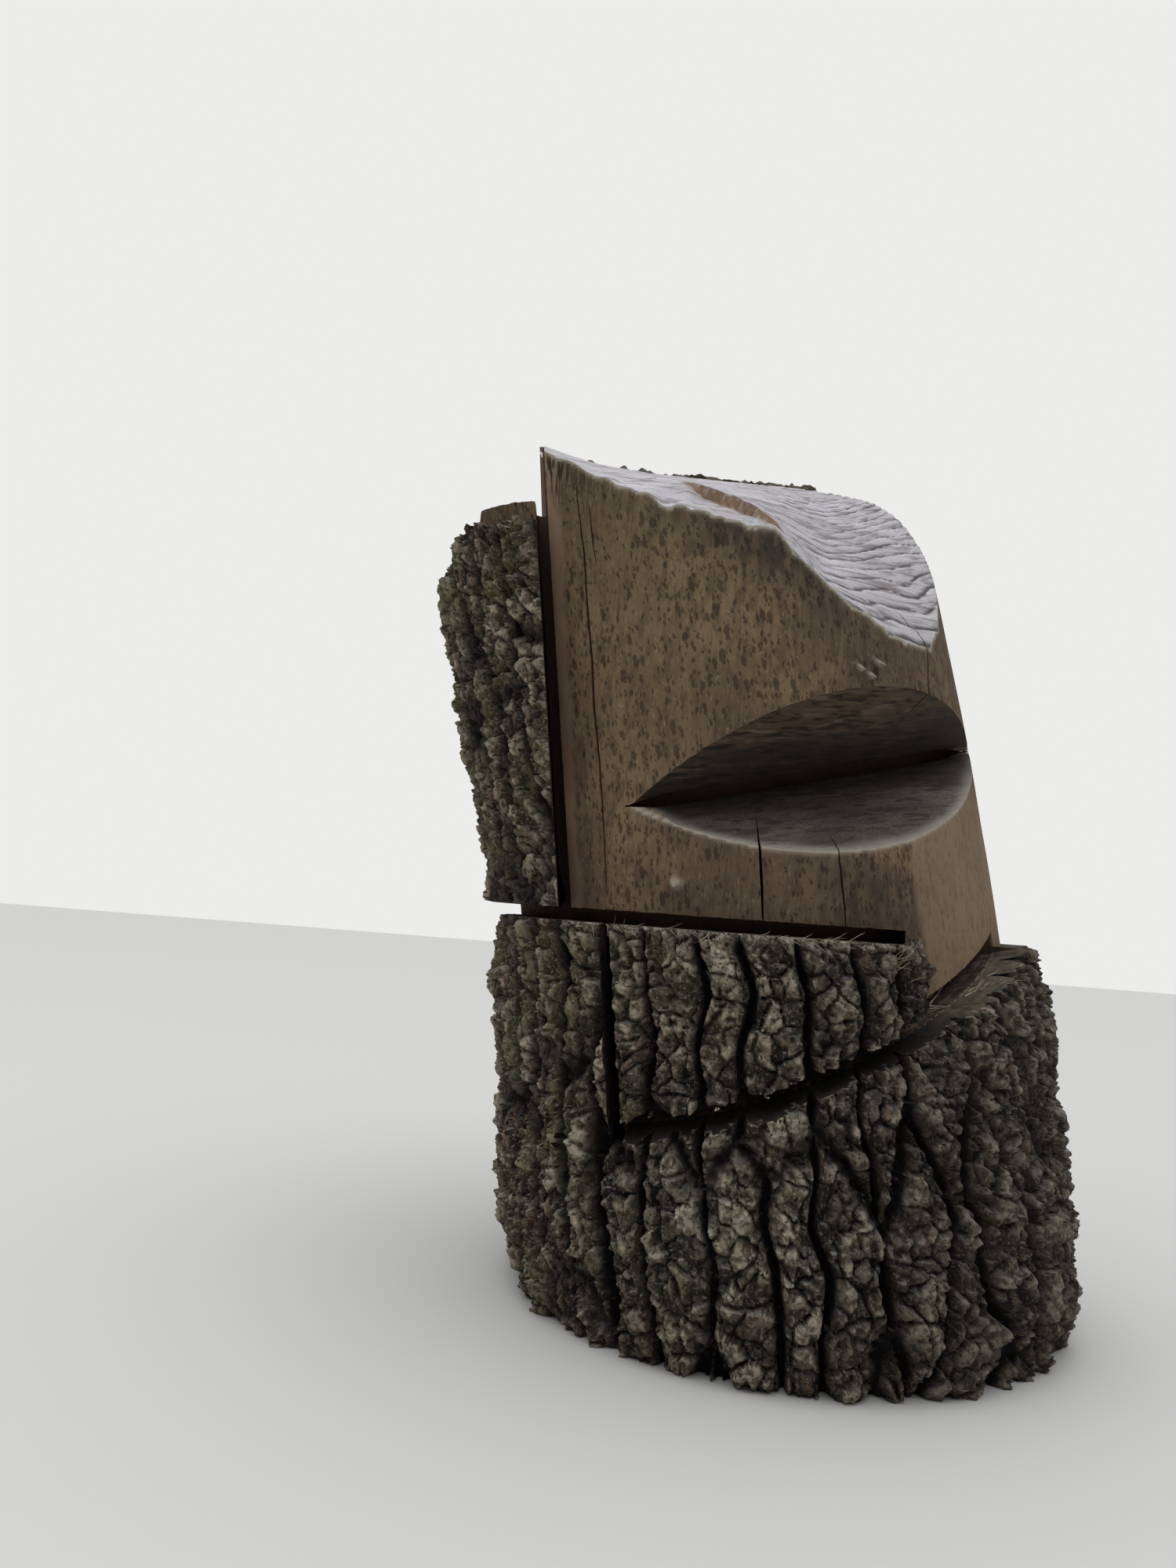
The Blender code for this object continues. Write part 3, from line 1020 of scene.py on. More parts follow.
class BarkFinish(Finish):
    """Grey-brown ridged bark with a little algae and pale dust; painted shade near black in its furrows,
    cracks and flake hollows, and painted highlights on raised flake edges.
    """

    def surface(self, w: Wiring) -> tuple[object, object, object]:
        """Colour, roughness and normal of the bark."""
        place = w.place()
        relief, gap = w.attribute("relief"), w.attribute("gap")
        chunk, flake, algae_and_shade = w.attribute("chunk"), w.attribute("flake"), w.attribute("algae_and_shade")
        fine = w.noise(place, 520.0, 8.0, 0.3)
        crust = w.noise(place, 220.0, 9.0, 0.5)
        patch = w.noise(place, 22.0, 4.0)
        lift = w.attribute("lift")
        warm = w.span(w.noise(place, 34.0, 5.0, 0.4), 0.38, 0.62)
        tone = w.mix(warm, colour(108, 99, 82), colour(116, 98, 84))
        # Painted shade: near black in the hollows between flakes.
        base = w.mix(w.span(lift, 0.26, 0.56), colour(24, 20, 17), tone)
        # Painted highlight: pale on the flakes' raised edges.
        base = w.mix(w.span(lift, 0.56, 0.84, 0.0, 0.85), base, colour(188, 176, 156))
        base = w.mix(w.span(flake, 0.45, 1.0, 0.0, 0.35), base, colour(138, 128, 114))
        base = w.mix(w.span(chunk, 0.55, 1.0, 0.0, 0.4), base, colour(112, 90, 76))
        rusty = w.times(w.span(patch, 0.55, 0.70), w.span(flake, 0.25, 0.0), 0.75)
        base = w.mix(rusty, base, colour(116, 76, 58))
        algae = w.times(algae_and_shade, w.span(patch, 0.62, 0.40), w.span(relief, 0.3, 0.8), 0.62)
        base = w.mix(algae, base, colour(112, 106, 72))
        base = w.mix(w.span(crust, 0.42, 0.62, 0.0, 0.75), base, colour(42, 36, 31))
        base = w.mix(w.span(fine, 0.52, 0.72, 0.0, 0.5), base, colour(170, 162, 150))
        dusty = w.group(self.effects.dust, {"Place": place, "Amount": 0.55}).outputs[0]
        base = w.mix(dusty, base, colour(178, 172, 164))
        # Painted shade: dark in the cracks between chunks.
        base = w.mix(w.times(gap, 0.6), base, colour(26, 23, 20))
        # Painted shade: near black deep in the furrows on the left side.
        base = w.mix(w.times(w.span(relief, 0.92, 0.50), algae_and_shade, 0.7), base, colour(20, 17, 15))
        base = w.mix(w.span(algae_and_shade, 0.36, 0.17, 0.0, 0.42), base, colour(26, 23, 23))
        # Painted shade: near black deep in every furrow.
        base = w.mix(w.span(relief, 0.06, 0.56), colour(14, 12, 11), base)
        base = w.mix(w.times(w.attribute("lip"), w.span(fine, 0.35, 0.6), 0.8), base, colour(168, 158, 146))
        height = w.math("ADD", w.times(crust, 0.65), w.times(fine, 0.35))
        bump = w.node("Bump", {"Strength": 1.0, "Distance": 0.0024, "Height": height}).outputs[0]
        return base, w.span(fine, 0.2, 0.8, 0.82, 0.97), bump


class BarkCutFinish(Finish):
    """Bark sawn across: dark layered cork."""

    def surface(self, w: Wiring) -> tuple[object, object, object]:
        """Colour, roughness and normal of cut bark."""
        place = w.place()
        fibres = w.noise(w.stretch(place, (90.0, 90.0, 260.0)), 1.0, 6.0, 0.8)
        crumbs = w.noise(place, 500.0, 6.0)
        base = w.mix(w.span(fibres, 0.3, 0.7), colour(50, 43, 33), colour(80, 70, 56))
        dusty = w.group(self.effects.dust, {"Place": place, "Amount": 0.35}).outputs[0]
        base = w.mix(dusty, base, colour(118, 108, 98))
        base = w.mix(w.times(w.attribute("shade"), 0.97), base, colour(11, 10, 9))
        height = w.math("ADD", w.times(fibres, 0.6), w.times(crumbs, 0.4))
        bump = w.node("Bump", {"Strength": 0.8, "Distance": 0.0014, "Height": height}).outputs[0]
        return base, w.span(crumbs, 0.2, 0.8, 0.85, 0.97), bump


class PeeledFinish(Finish):
    """The wood's own outer face where the bark came off: weathered brown-grey with dark flecks."""

    def surface(self, w: Wiring) -> tuple[object, object, object]:
        """Colour, roughness and normal of the peeled side."""
        place = w.place()
        grain = w.group(self.effects.grain, {"Place": place, "Width": 420.0, "Length": 14.0})
        cloud = w.noise(w.stretch(place, (1.0, 1.0, 0.6)), 13.0, 5.0, 0.4)
        mottle = w.noise(w.stretch(place, (1.0, 1.0, 0.4)), 150.0, 7.0, 0.3)
        speck = w.noise(w.stretch(place, (1.0, 1.0, 0.35)), 620.0, 4.0)
        amount = w.span(cloud, 0.35, 0.62, 0.30, 0.62)
        flecks = w.group(self.effects.flecks, {"Place": place, "Amount": amount}).outputs[0]
        tan, stain_and_shade, band = w.attribute("tan"), w.attribute("stain_and_shade"), w.attribute("band")
        rim, fray = w.attribute("rim"), w.attribute("fray")
        base = w.mix(w.span(cloud, 0.32, 0.68), colour(104, 86, 67), colour(132, 110, 84))
        base = w.mix(w.times(w.attribute("moss"), w.span(mottle, 0.3, 0.7), 0.55), base, colour(146, 132, 88))
        base = w.mix(w.span(mottle, 0.42, 0.66, 0.0, 0.65), base, colour(80, 67, 54))
        base = w.mix(w.span(speck, 0.55, 0.72, 0.0, 0.5), base, colour(64, 52, 40))
        base = w.mix(w.span(speck, 0.42, 0.28, 0.0, 0.4), base, colour(158, 142, 120))
        base = w.mix(w.span(grain.outputs["Fine"], 0.52, 0.70, 0.0, 0.4), base, colour(72, 59, 46))
        clean = w.mix(grain.outputs["Streak"], colour(140, 118, 94), colour(158, 137, 113))
        base = w.mix(w.times(tan, 0.75), base, clean)
        # Painted shade under the notch, and a grey stain below the top's front edge.
        base = w.mix(w.times(stain_and_shade, w.span(mottle, 0.25, 0.6, 0.5, 0.9)), base, colour(60, 52, 46))
        base = w.mix(w.times(band, 0.75), base, colour(150, 124, 104))
        torn = w.times(fray, w.span(w.noise(w.stretch(place, (420.0, 420.0, 9.0)), 1.0, 3.0), 0.45, 0.56))
        base = w.mix(torn, base, colour(46, 36, 27))
        bare = w.math("SUBTRACT", 1.0, w.math("MAXIMUM", w.times(tan, 0.75), band))
        base = w.mix(w.times(flecks, bare, 0.65), base, colour(42, 34, 27))
        # Painted highlight: pale along the cut edges of the peeled face and on the raised thorns.
        base = w.mix(w.times(rim, 0.6), base, colour(176, 166, 150))
        height = w.math("SUBTRACT", w.times(mottle, 0.5), w.times(flecks, 0.35))
        height = w.math("ADD", height, w.times(grain.outputs["Height"], 0.5))
        height = w.math("SUBTRACT", height, w.times(torn, 1.2))
        bump = w.node("Bump", {"Strength": 0.5, "Distance": 0.0009, "Height": height}).outputs[0]
        return base, w.span(mottle, 0.2, 0.8, 0.62, 0.85), bump


class SawnTopFinish(Finish):
    """Slanting end grain bleached grey-white, with painted shade in the saw's grooves."""

    def surface(self, w: Wiring) -> tuple[object, object, object]:
        """Colour, roughness and normal of the sawn top."""
        place = w.place()
        groove_shade = w.attribute("groove_shade")
        turned = w.node("Mapping", {"Vector": place, "Rotation": (0.0, 0.0, -0.68)}).outputs[0]
        lines = w.noise(w.stretch(turned, (18.0, 170.0, 170.0)), 1.0, 7.0, 0.8)
        pores = w.noise(place, 700.0, 5.0)
        cloud = w.noise(place, 12.0, 4.0)
        base = w.mix(w.span(cloud, 0.3, 0.7), colour(186, 181, 185), colour(204, 200, 205))
        base = w.mix(w.span(lines, 0.46, 0.64, 0.0, 0.7), base, colour(112, 104, 104))
        base = w.mix(w.span(pores, 0.5, 0.75, 0.0, 0.4), base, colour(128, 118, 116))
        # Painted shade: dark grey in the saw's grooves.
        base = w.mix(w.span(groove_shade, 0.22, 0.80, 0.0, 0.9), base, colour(70, 63, 63))
        base = w.mix(w.times(w.attribute("torn"), 0.95), base, colour(128, 100, 70))
        height = w.math("ADD", w.times(lines, 0.6), w.times(pores, 0.4))
        bump = w.node("Bump", {"Strength": 0.7, "Distance": 0.0010, "Height": height}).outputs[0]
        return base, w.span(pores, 0.2, 0.8, 0.75, 0.92), bump


class MouthRoofFinish(Finish):
    """The notch's roof: brown wood cut on the slant, streaked, with painted shade dark deep inside."""

    def surface(self, w: Wiring) -> tuple[object, object, object]:
        """Colour, roughness and normal of the notch's roof."""
        place = w.place()
        turned = w.node("Mapping", {"Vector": place, "Rotation": (0.0, 0.0, -0.58)}).outputs[0]
        lines = w.noise(w.stretch(turned, (6.0, 250.0, 250.0)), 1.0, 7.0, 0.7)
        cloud = w.noise(w.stretch(turned, (5.0, 22.0, 22.0)), 1.0, 4.0, 0.6)
        inward = w.attribute("inward")
        base = w.mix(w.span(cloud, 0.3, 0.65), colour(73, 59, 46), colour(89, 74, 58))
        base = w.mix(w.span(lines, 0.52, 0.68, 0.0, 0.6), base, colour(118, 103, 86))
        base = w.mix(w.span(lines, 0.49, 0.36, 0.0, 0.85), base, colour(30, 24, 19))
        # Painted shade: darker deep inside the notch, broken up by the clouding.
        inner_shade = w.span(w.math("ADD", inward, w.times(w.math("SUBTRACT", cloud, 0.5), 1.3)), 0.2, 0.85)
        base = w.mix(w.times(inner_shade, 0.85), base, colour(34, 30, 28))
        bump = w.node("Bump", {"Strength": 0.6, "Distance": 0.0012, "Height": lines}).outputs[0]
        return base, w.span(lines, 0.2, 0.8, 0.7, 0.88), bump


class MouthFloorFinish(Finish):
    """The notch's floor: grey wood, worn smooth, with a painted highlight on its front edge and painted shade
    deep inside.
    """

    def surface(self, w: Wiring) -> tuple[object, object, object]:
        """Colour, roughness and normal of the notch's floor."""
        place = w.place()
        turned = w.node("Mapping", {"Vector": place, "Rotation": (0.0, 0.0, -0.58)}).outputs[0]
        lines = w.noise(w.stretch(turned, (12.0, 230.0, 230.0)), 1.0, 7.0, 0.9)
        cloud = w.noise(w.stretch(turned, (12.0, 40.0, 40.0)), 1.0, 5.0)
        grit = w.noise(place, 600.0, 4.0)
        base = w.mix(w.span(cloud, 0.3, 0.7), colour(74, 65, 58), colour(104, 95, 87))
        base = w.mix(w.span(lines, 0.47, 0.62, 0.0, 0.7), base, colour(50, 42, 36))
        base = w.mix(w.span(grit, 0.50, 0.68, 0.0, 0.6), base, colour(44, 38, 33))
        # Painted highlight: pale along the floor's front edge.
        base = w.mix(w.times(w.attribute("lip"), 0.8), base, colour(156, 148, 140))
        # Painted shade: darker deep inside the notch.
        inner_shade = w.span(w.attribute("inward"), 0.35, 1.0, 0.0, 0.85)
        base = w.mix(inner_shade, base, colour(32, 27, 24))
        height = w.math("ADD", lines, w.times(grit, 0.3))
        bump = w.node("Bump", {"Strength": 0.9, "Distance": 0.0014, "Height": height}).outputs[0]
        return base, w.span(lines, 0.2, 0.8, 0.88, 0.98), bump


class KerfFinish(Finish):
    """Walls of the narrow saw cuts: dark red-brown wood."""

    def surface(self, w: Wiring) -> tuple[object, object, object]:
        """Colour, roughness and normal of a kerf's wall."""
        place = w.place()
        grain = w.group(self.effects.grain, {"Place": place, "Width": 240.0, "Length": 60.0})
        base = w.mix(grain.outputs["Streak"], colour(64, 48, 38), colour(112, 90, 72))
        dusty = w.group(self.effects.dust, {"Place": place, "Amount": 0.6}).outputs[0]
        base = w.mix(dusty, base, colour(150, 140, 130))
        sockets = {"Strength": 0.6, "Distance": 0.001, "Height": grain.outputs["Height"]}
        bump = w.node("Bump", sockets).outputs[0]
        return base, w.span(grain.outputs["Fine"], 0.2, 0.8, 0.75, 0.9), bump


class BaseFinish(Finish):
    """The sawn base: end grain with growth rings round the pith."""

    def surface(self, w: Wiring) -> tuple[object, object, object]:
        """Colour, roughness and normal of the sawn base."""
        place = w.place()
        warp = w.noise(place, 9.0, 3.0)
        parts = w.node("SeparateXYZ", {0: place})
        across = w.math("MULTIPLY", parts.outputs["X"], parts.outputs["X"])
        along = w.math("MULTIPLY", parts.outputs["Y"], parts.outputs["Y"])
        radius = w.math("SQRT", w.math("ADD", across, along))
        wave = w.math("SINE", w.times(w.math("ADD", radius, w.times(warp, 0.012)), 1400.0))
        heart = w.mix(w.span(radius, 0.06, 0.15), colour(146, 112, 78), colour(188, 166, 132))
        base = w.mix(w.span(wave, 0.2, 1.0, 0.0, 0.35), heart, colour(112, 84, 58))
        lines = w.noise(w.stretch(place, (10.0, 160.0, 1.0)), 1.0, 5.0)
        base = w.mix(w.span(lines, 0.5, 0.75, 0.0, 0.45), base, colour(106, 92, 78))
        bump = w.node("Bump", {"Strength": 0.5, "Distance": 0.001, "Height": lines}).outputs[0]
        return base, w.span(lines, 0.2, 0.8, 0.75, 0.9), bump


class WoodFace(Enum):
    """The kinds of surface the wood shows."""

    PEELED = 0
    TOP = 1
    ROOF = 2
    FLOOR = 3
    KERF = 4
    BASE = 5


# ---------------------------------------------------------------- wood


@dataclass(frozen=True)
class Thorn:
    """A small pointed stub of a shoot on the peeled side: degrees round the log, height, size."""

    angle: float
    z: float
    radius: float = 0.009
    height: float = 0.0085
    drop: float = 0.0030
    patch: float = 0.0076


THORNS = (
    Thorn(32.6, 0.4530),
    Thorn(35.0, 0.4490),
    Thorn(37.6, 0.4585, 0.009, 0.0100),
    Thorn(-12.6, 0.2995, 0.011, 0.0090, patch=0.016),
)


@dataclass
class Wood:
    """The peeled wood with its cuts, cracks and thorns."""

    form: LogForm
    cuts: SawCuts
    effects: Effects
    fine: float = 0.0023
    fine_from: float = degrees(-46.0)
    fine_to: float = degrees(152.0)
    blank_top: float = 0.785
    hidden_below: float = 0.20
    stub: float = 0.017
    pieces: list[bpy.types.Object] = field(default_factory=list)

    def relief(self, turn: Array, z: Array) -> Array:
        """How far the peeled surface stands off a plain round, in metres."""
        lumps = 0.0012 * Ripple(10, 0.22, 101).at(turn, z) + 0.0004 * Ripple(46, 0.07, 102).at(turn, z)
        fibres = 0.00018 * Ripple(380, 0.06, 103).at(turn, z)
        torn = -0.0022 * self.fray(turn, z) * np.clip(Ripple(330, 0.11, 104).at(turn, z) + 0.1, 0, 1)
        return lumps + fibres + torn

    def fray(self, turn: Array, z: Array) -> Array:
        """1 where the fibres are torn, near the peak and beside the upright kerf."""
        left = self.form.side_turn(z, self.form.wood_at(z))
        beside = (turn - left) * math.tau * self.form.wood_radius
        place = self.form.point(turn, z, self.form.wood_at(z))
        below = self.form.top_z(place[..., 0], place[..., 1]) - z
        reach = 0.055 + 0.045 * Ripple(70, 0.5, 105).at(turn, z)
        return ease(1.2 - beside / 0.055) * ease(1.3 - below / np.maximum(reach, 0.012))

    def build(self) -> None:
        """Models the wood, cuts it and dresses it."""
        trunk = self.trunk()
        tools = [
            self.cuts.top(),
            self.cuts.mouth(),
            self.cuts.level_kerf(),
            self.cuts.slope_kerf(),
            self.cuts.flap_kerf(),
            self.cuts.side_kerf(),
            self.cuts.shoulder(self.stub, 0.002, "shoulder_wood"),
        ]
        tools += [crack.blade(self.form, number) for number, crack in enumerate(CRACKS)]
        cut(trunk, tools)
        discard(tools)
        self.finish(trunk)
        self.pieces.append(trunk)
        for number, thorn in enumerate(THORNS):
            self.pieces.append(self.thorn(thorn, number))

    def trunk(self) -> bpy.types.Object:
        """The wood as a closed round blank, finest where it shows."""
        form = self.form
        fine_columns = steps((self.fine_to - self.fine_from) * math.tau * form.wood_radius, self.fine)
        coarse_columns = 30
        columns = fine_columns + coarse_columns
        coarse_rows = 8
        rows = coarse_rows + steps(self.blank_top - self.hidden_below, self.fine)
        deselect()
        bpy.ops.mesh.primitive_grid_add(x_subdivisions=columns, y_subdivisions=rows, size=1.0)
        trunk = bpy.context.object
        trunk.name = trunk.data.name = "wood"
        points = points_of(trunk)
        s, t = points[:, 0] + 0.5, points[:, 1] + 0.5
        share = fine_columns / columns
        turn = np.interp(s, [0.0, share, 1.0], [self.fine_from, self.fine_to, self.fine_from + 1.0])
        z = np.interp(t, [0.0, coarse_rows / rows, 1.0], [0.0, self.hidden_below, self.blank_top])
        radius = form.wood_at(z) + self.relief(turn, z)
        move_points(trunk, form.point(turn, z, radius))
        activate(trunk)
        bpy.ops.object.mode_set(mode="EDIT")
        bpy.ops.mesh.select_all(action="SELECT")
        bpy.ops.mesh.remove_doubles(threshold=0.00001)
        bpy.ops.mesh.select_all(action="SELECT")
        bpy.ops.mesh.fill_holes(sides=0)
        bpy.ops.object.mode_set(mode="OBJECT")
        face_outwards(trunk)
        return trunk

    def kinds(self, trunk: bpy.types.Object) -> Array:
        """Which kind of surface each face is."""
        form = self.form
        middle = face_middles(trunk)
        normal = face_normals(trunk)
        x, y, z = middle.T
        turn, _, radius = form.polar(middle)
        skin = form.wood_at(z) + self.relief(turn, z)
        kind = np.full(len(middle), WoodFace.KERF.value)
        kind[np.abs(radius - skin) < 0.0009] = WoodFace.PEELED.value
        over = z - form.top_z(x, y) - self.cuts.top_marks(x, y)
        kind[(np.abs(over) < 0.005) & (normal[:, 2] > 0.35) & (z > 0.47)] = WoodFace.TOP.value
        shoulder = form.shoulder + self.stub + form.shoulder_rise * (y - form.side_cut[1])
        wall = x - form.side_x(y, z)
        left = wall < 0.0
        tear = (np.abs(y - self.cuts.tear_line) < 0.007) & (x > -0.094) & (x < -0.016) & (z > 0.5)
        kind[tear] = WoodFace.TOP.value
        kind[(np.abs(wall) < 0.0016) & (normal[:, 0] < -0.5) & (z > form.level_cut)] = WoodFace.PEELED.value
        kind[(np.abs(z - shoulder) < 0.010) & left & (normal[:, 2] > 0.5)] = WoodFace.KERF.value
        out = form.mouth_out(x, y)
        roof = form.mouth_z(x, y) + form.mouth_roof * out
        bed = form.mouth_z(x, y) - form.mouth_floor * out
        inside = out > 0.003
        kind[inside & (np.abs(z - roof) < 0.004) & (normal[:, 2] < -0.3)] = WoodFace.ROOF.value
        low = inside & (z - bed > -0.004) & (z < roof) & (normal[:, 2] > 0.3) & (z < 0.46)
        kind[low & (z > 0.30)] = WoodFace.FLOOR.value
        kind[z < 0.0005] = WoodFace.BASE.value
        return kind

    def finish(self, trunk: bpy.types.Object) -> None:
        """Paints the masks, gives each face its material and shades the wood."""
        form = self.form
        points = points_of(trunk)
        x, y, z = points.T
        turn, _, radius = form.polar(points)
        out = form.mouth_out(x, y)
        bed = form.mouth_z(x, y) - form.mouth_floor * out
        skin = form.wood_at(z) + self.relief(turn, z)
        above = np.abs(z - form.top_z(x, y) - self.cuts.top_marks(x, y))
        near_cut = np.minimum(above, np.abs(z - bed) + (out < 0))
        near_skin = np.abs(radius - skin)
        wall = x - form.side_x(y, z)
        edge = 0.0020 * Ripple(120, 0.02, 107).at(turn, z)
        # Painted highlight along the edges of the top and the notch floor.
        paint(trunk, "rim", bell(near_cut, 0.0022) + bell(near_skin, 0.0040) * (near_cut < 0.001))
        # Painted highlight on the notch floor's front edge.
        paint(trunk, "lip", bell(near_skin, 0.0045 + 0.0015 * Ripple(60, 0.02, 109).at(turn, z)))
        paint(trunk, "band", ease((0.011 + edge - wall) / 0.006) * (wall > -0.003))
        paint(trunk, "fray", self.fray(turn, z))
        paint(trunk, "tan", self.tan_zone(turn, z))
        paint(trunk, "stain_and_shade", self.stain_and_shade_zone(turn, z))
        paint(trunk, "moss", bell(turn - degrees(-8.0), degrees(24.0)) * ease((z - 0.36) / 0.14))
        # How far into the notch a point lies, for painted shade deep inside it.
        paint(trunk, "inward", np.clip(1.0 - out / 0.075, 0.0, 1.0))
        # Depth of the saw's grooves, for painted shade in them.
        paint(trunk, "groove_shade", np.clip(-self.cuts.scoring(x, y) / 0.0030, 0.0, 1.0))
        paint(trunk, "torn", self.torn(trunk))
        paint(trunk, "arc", turn * math.tau * form.wood_radius)
        finishes = {
            WoodFace.PEELED: PeeledFinish("peeled_wood", self.effects),
            WoodFace.TOP: SawnTopFinish("sawn_top", self.effects),
            WoodFace.ROOF: MouthRoofFinish("notch_roof", self.effects),
            WoodFace.FLOOR: MouthFloorFinish("notch_floor", self.effects),
            WoodFace.KERF: KerfFinish("kerf_wall", self.effects),
            WoodFace.BASE: BaseFinish("sawn_base", self.effects),
        }
        self.materials = [finishes[face].material() for face in WoodFace]
        dress(trunk, self.materials, self.kinds(trunk))
        settle(trunk, 32.0)

    def torn(self, trunk: bpy.types.Object) -> Array:
        """1 on the low brown wall where the front rim tore."""
        x, y, _ = points_of(trunk).T
        left, right = self.cuts.tear_ends
        near = ease(1.5 - np.abs(y - self.cuts.tear_line) / 0.0042) * (x > left) * (x < right)
        return near * (0.55 + 0.45 * (face_up(trunk) < 0.72))

    def tan_zone(self, turn: Array, z: Array) -> Array:
        """1 on the cleaner tan wood low at the right, whose left edge is crisp."""
        edge = degrees(37.0) + degrees(1.0) * Ripple(9, 0.05, 108).at(z * 0.0 + 0.5, z)
        return ease((turn - edge) / degrees(2.0)) * ease((0.40 - z) / 0.03) * 0.85

    def stain_and_shade_zone(self, turn: Array, z: Array) -> Array:
        """1 where the wood is painted darker grey: painted shade under the notch, and a grey stain below the
        top's front edge.
        """
        place = self.form.point(turn, z, self.form.wood_at(z))
        below = self.form.top_z(place[..., 0], place[..., 1]) - z
        # Painted shade under the notch.
        under = bell(turn - degrees(26.0), degrees(11.0)) * ease((0.335 - z) / 0.03)
        scoop = ease(1.0 - below / 0.05) * bell(turn - degrees(17.0), degrees(22.0))
        return np.clip(under * 0.9 + scoop, 0.0, 1.0)

    def thorn(self, thorn: Thorn, number: int) -> bpy.types.Object:
        """A thorn on a small patch that lies in the peeled surface."""
        form = self.form
        size = thorn.patch

        def face(s: Array, t: Array) -> Array:
            across, along = (s - 0.5) * 2 * size, (t - 0.5) * 2 * size
            distance = np.hypot(across, along)
            z = thorn.z + along
            turn = degrees(thorn.angle) + across / form.wood_radius / math.tau
            rise = thorn.height * np.exp(-((distance / (thorn.radius * 0.42)) ** 1.05))
            edge = ease(1.0 - distance / (size * 0.95))
            radius = form.wood_at(z) + self.relief(turn, z) - 0.0005 * (1 - edge) + rise * edge
            tip = (rise / thorn.height) ** 2
            return form.point(turn, z - thorn.drop * tip, radius)

        def back(s: Array, t: Array) -> Array:
            z = thorn.z + (t - 0.5) * 2 * size
            turn = degrees(thorn.angle) + (s - 0.5) * 2 * size / form.wood_radius / math.tau
            return form.point(turn, z, form.wood_at(z) - 0.004)

        patch = thick_sheet(f"thorn_{number + 1}", 44, 44, face, back)
        turn, z, radius = form.polar(points_of(patch))
        for name in ("band", "fray", "torn", "groove_shade", "inward", "moss"):
            paint(patch, name, np.zeros(len(z)))
        paint(patch, "arc", turn * math.tau * form.wood_radius)
        paint(patch, "tan", self.tan_zone(turn, z))
        paint(patch, "stain_and_shade", self.stain_and_shade_zone(turn, z))
        # Painted highlight on the raised thorn.
        paint(patch, "rim", ease((radius - form.wood_at(z) - 0.0015) / 0.004))
        dress(patch, self.materials[:1], np.zeros(len(patch.data.polygons)))
        settle(patch, 60.0)
        return patch


def face_up(obj: bpy.types.Object) -> Array:
    """How far each vertex's surface faces up, -1 to 1."""
    flat = np.empty(len(obj.data.vertices) * 3)
    obj.data.vertices.foreach_get("normal", flat)
    return flat.reshape(-1, 3)[:, 2]


# ---------------------------------------------------------------- bark


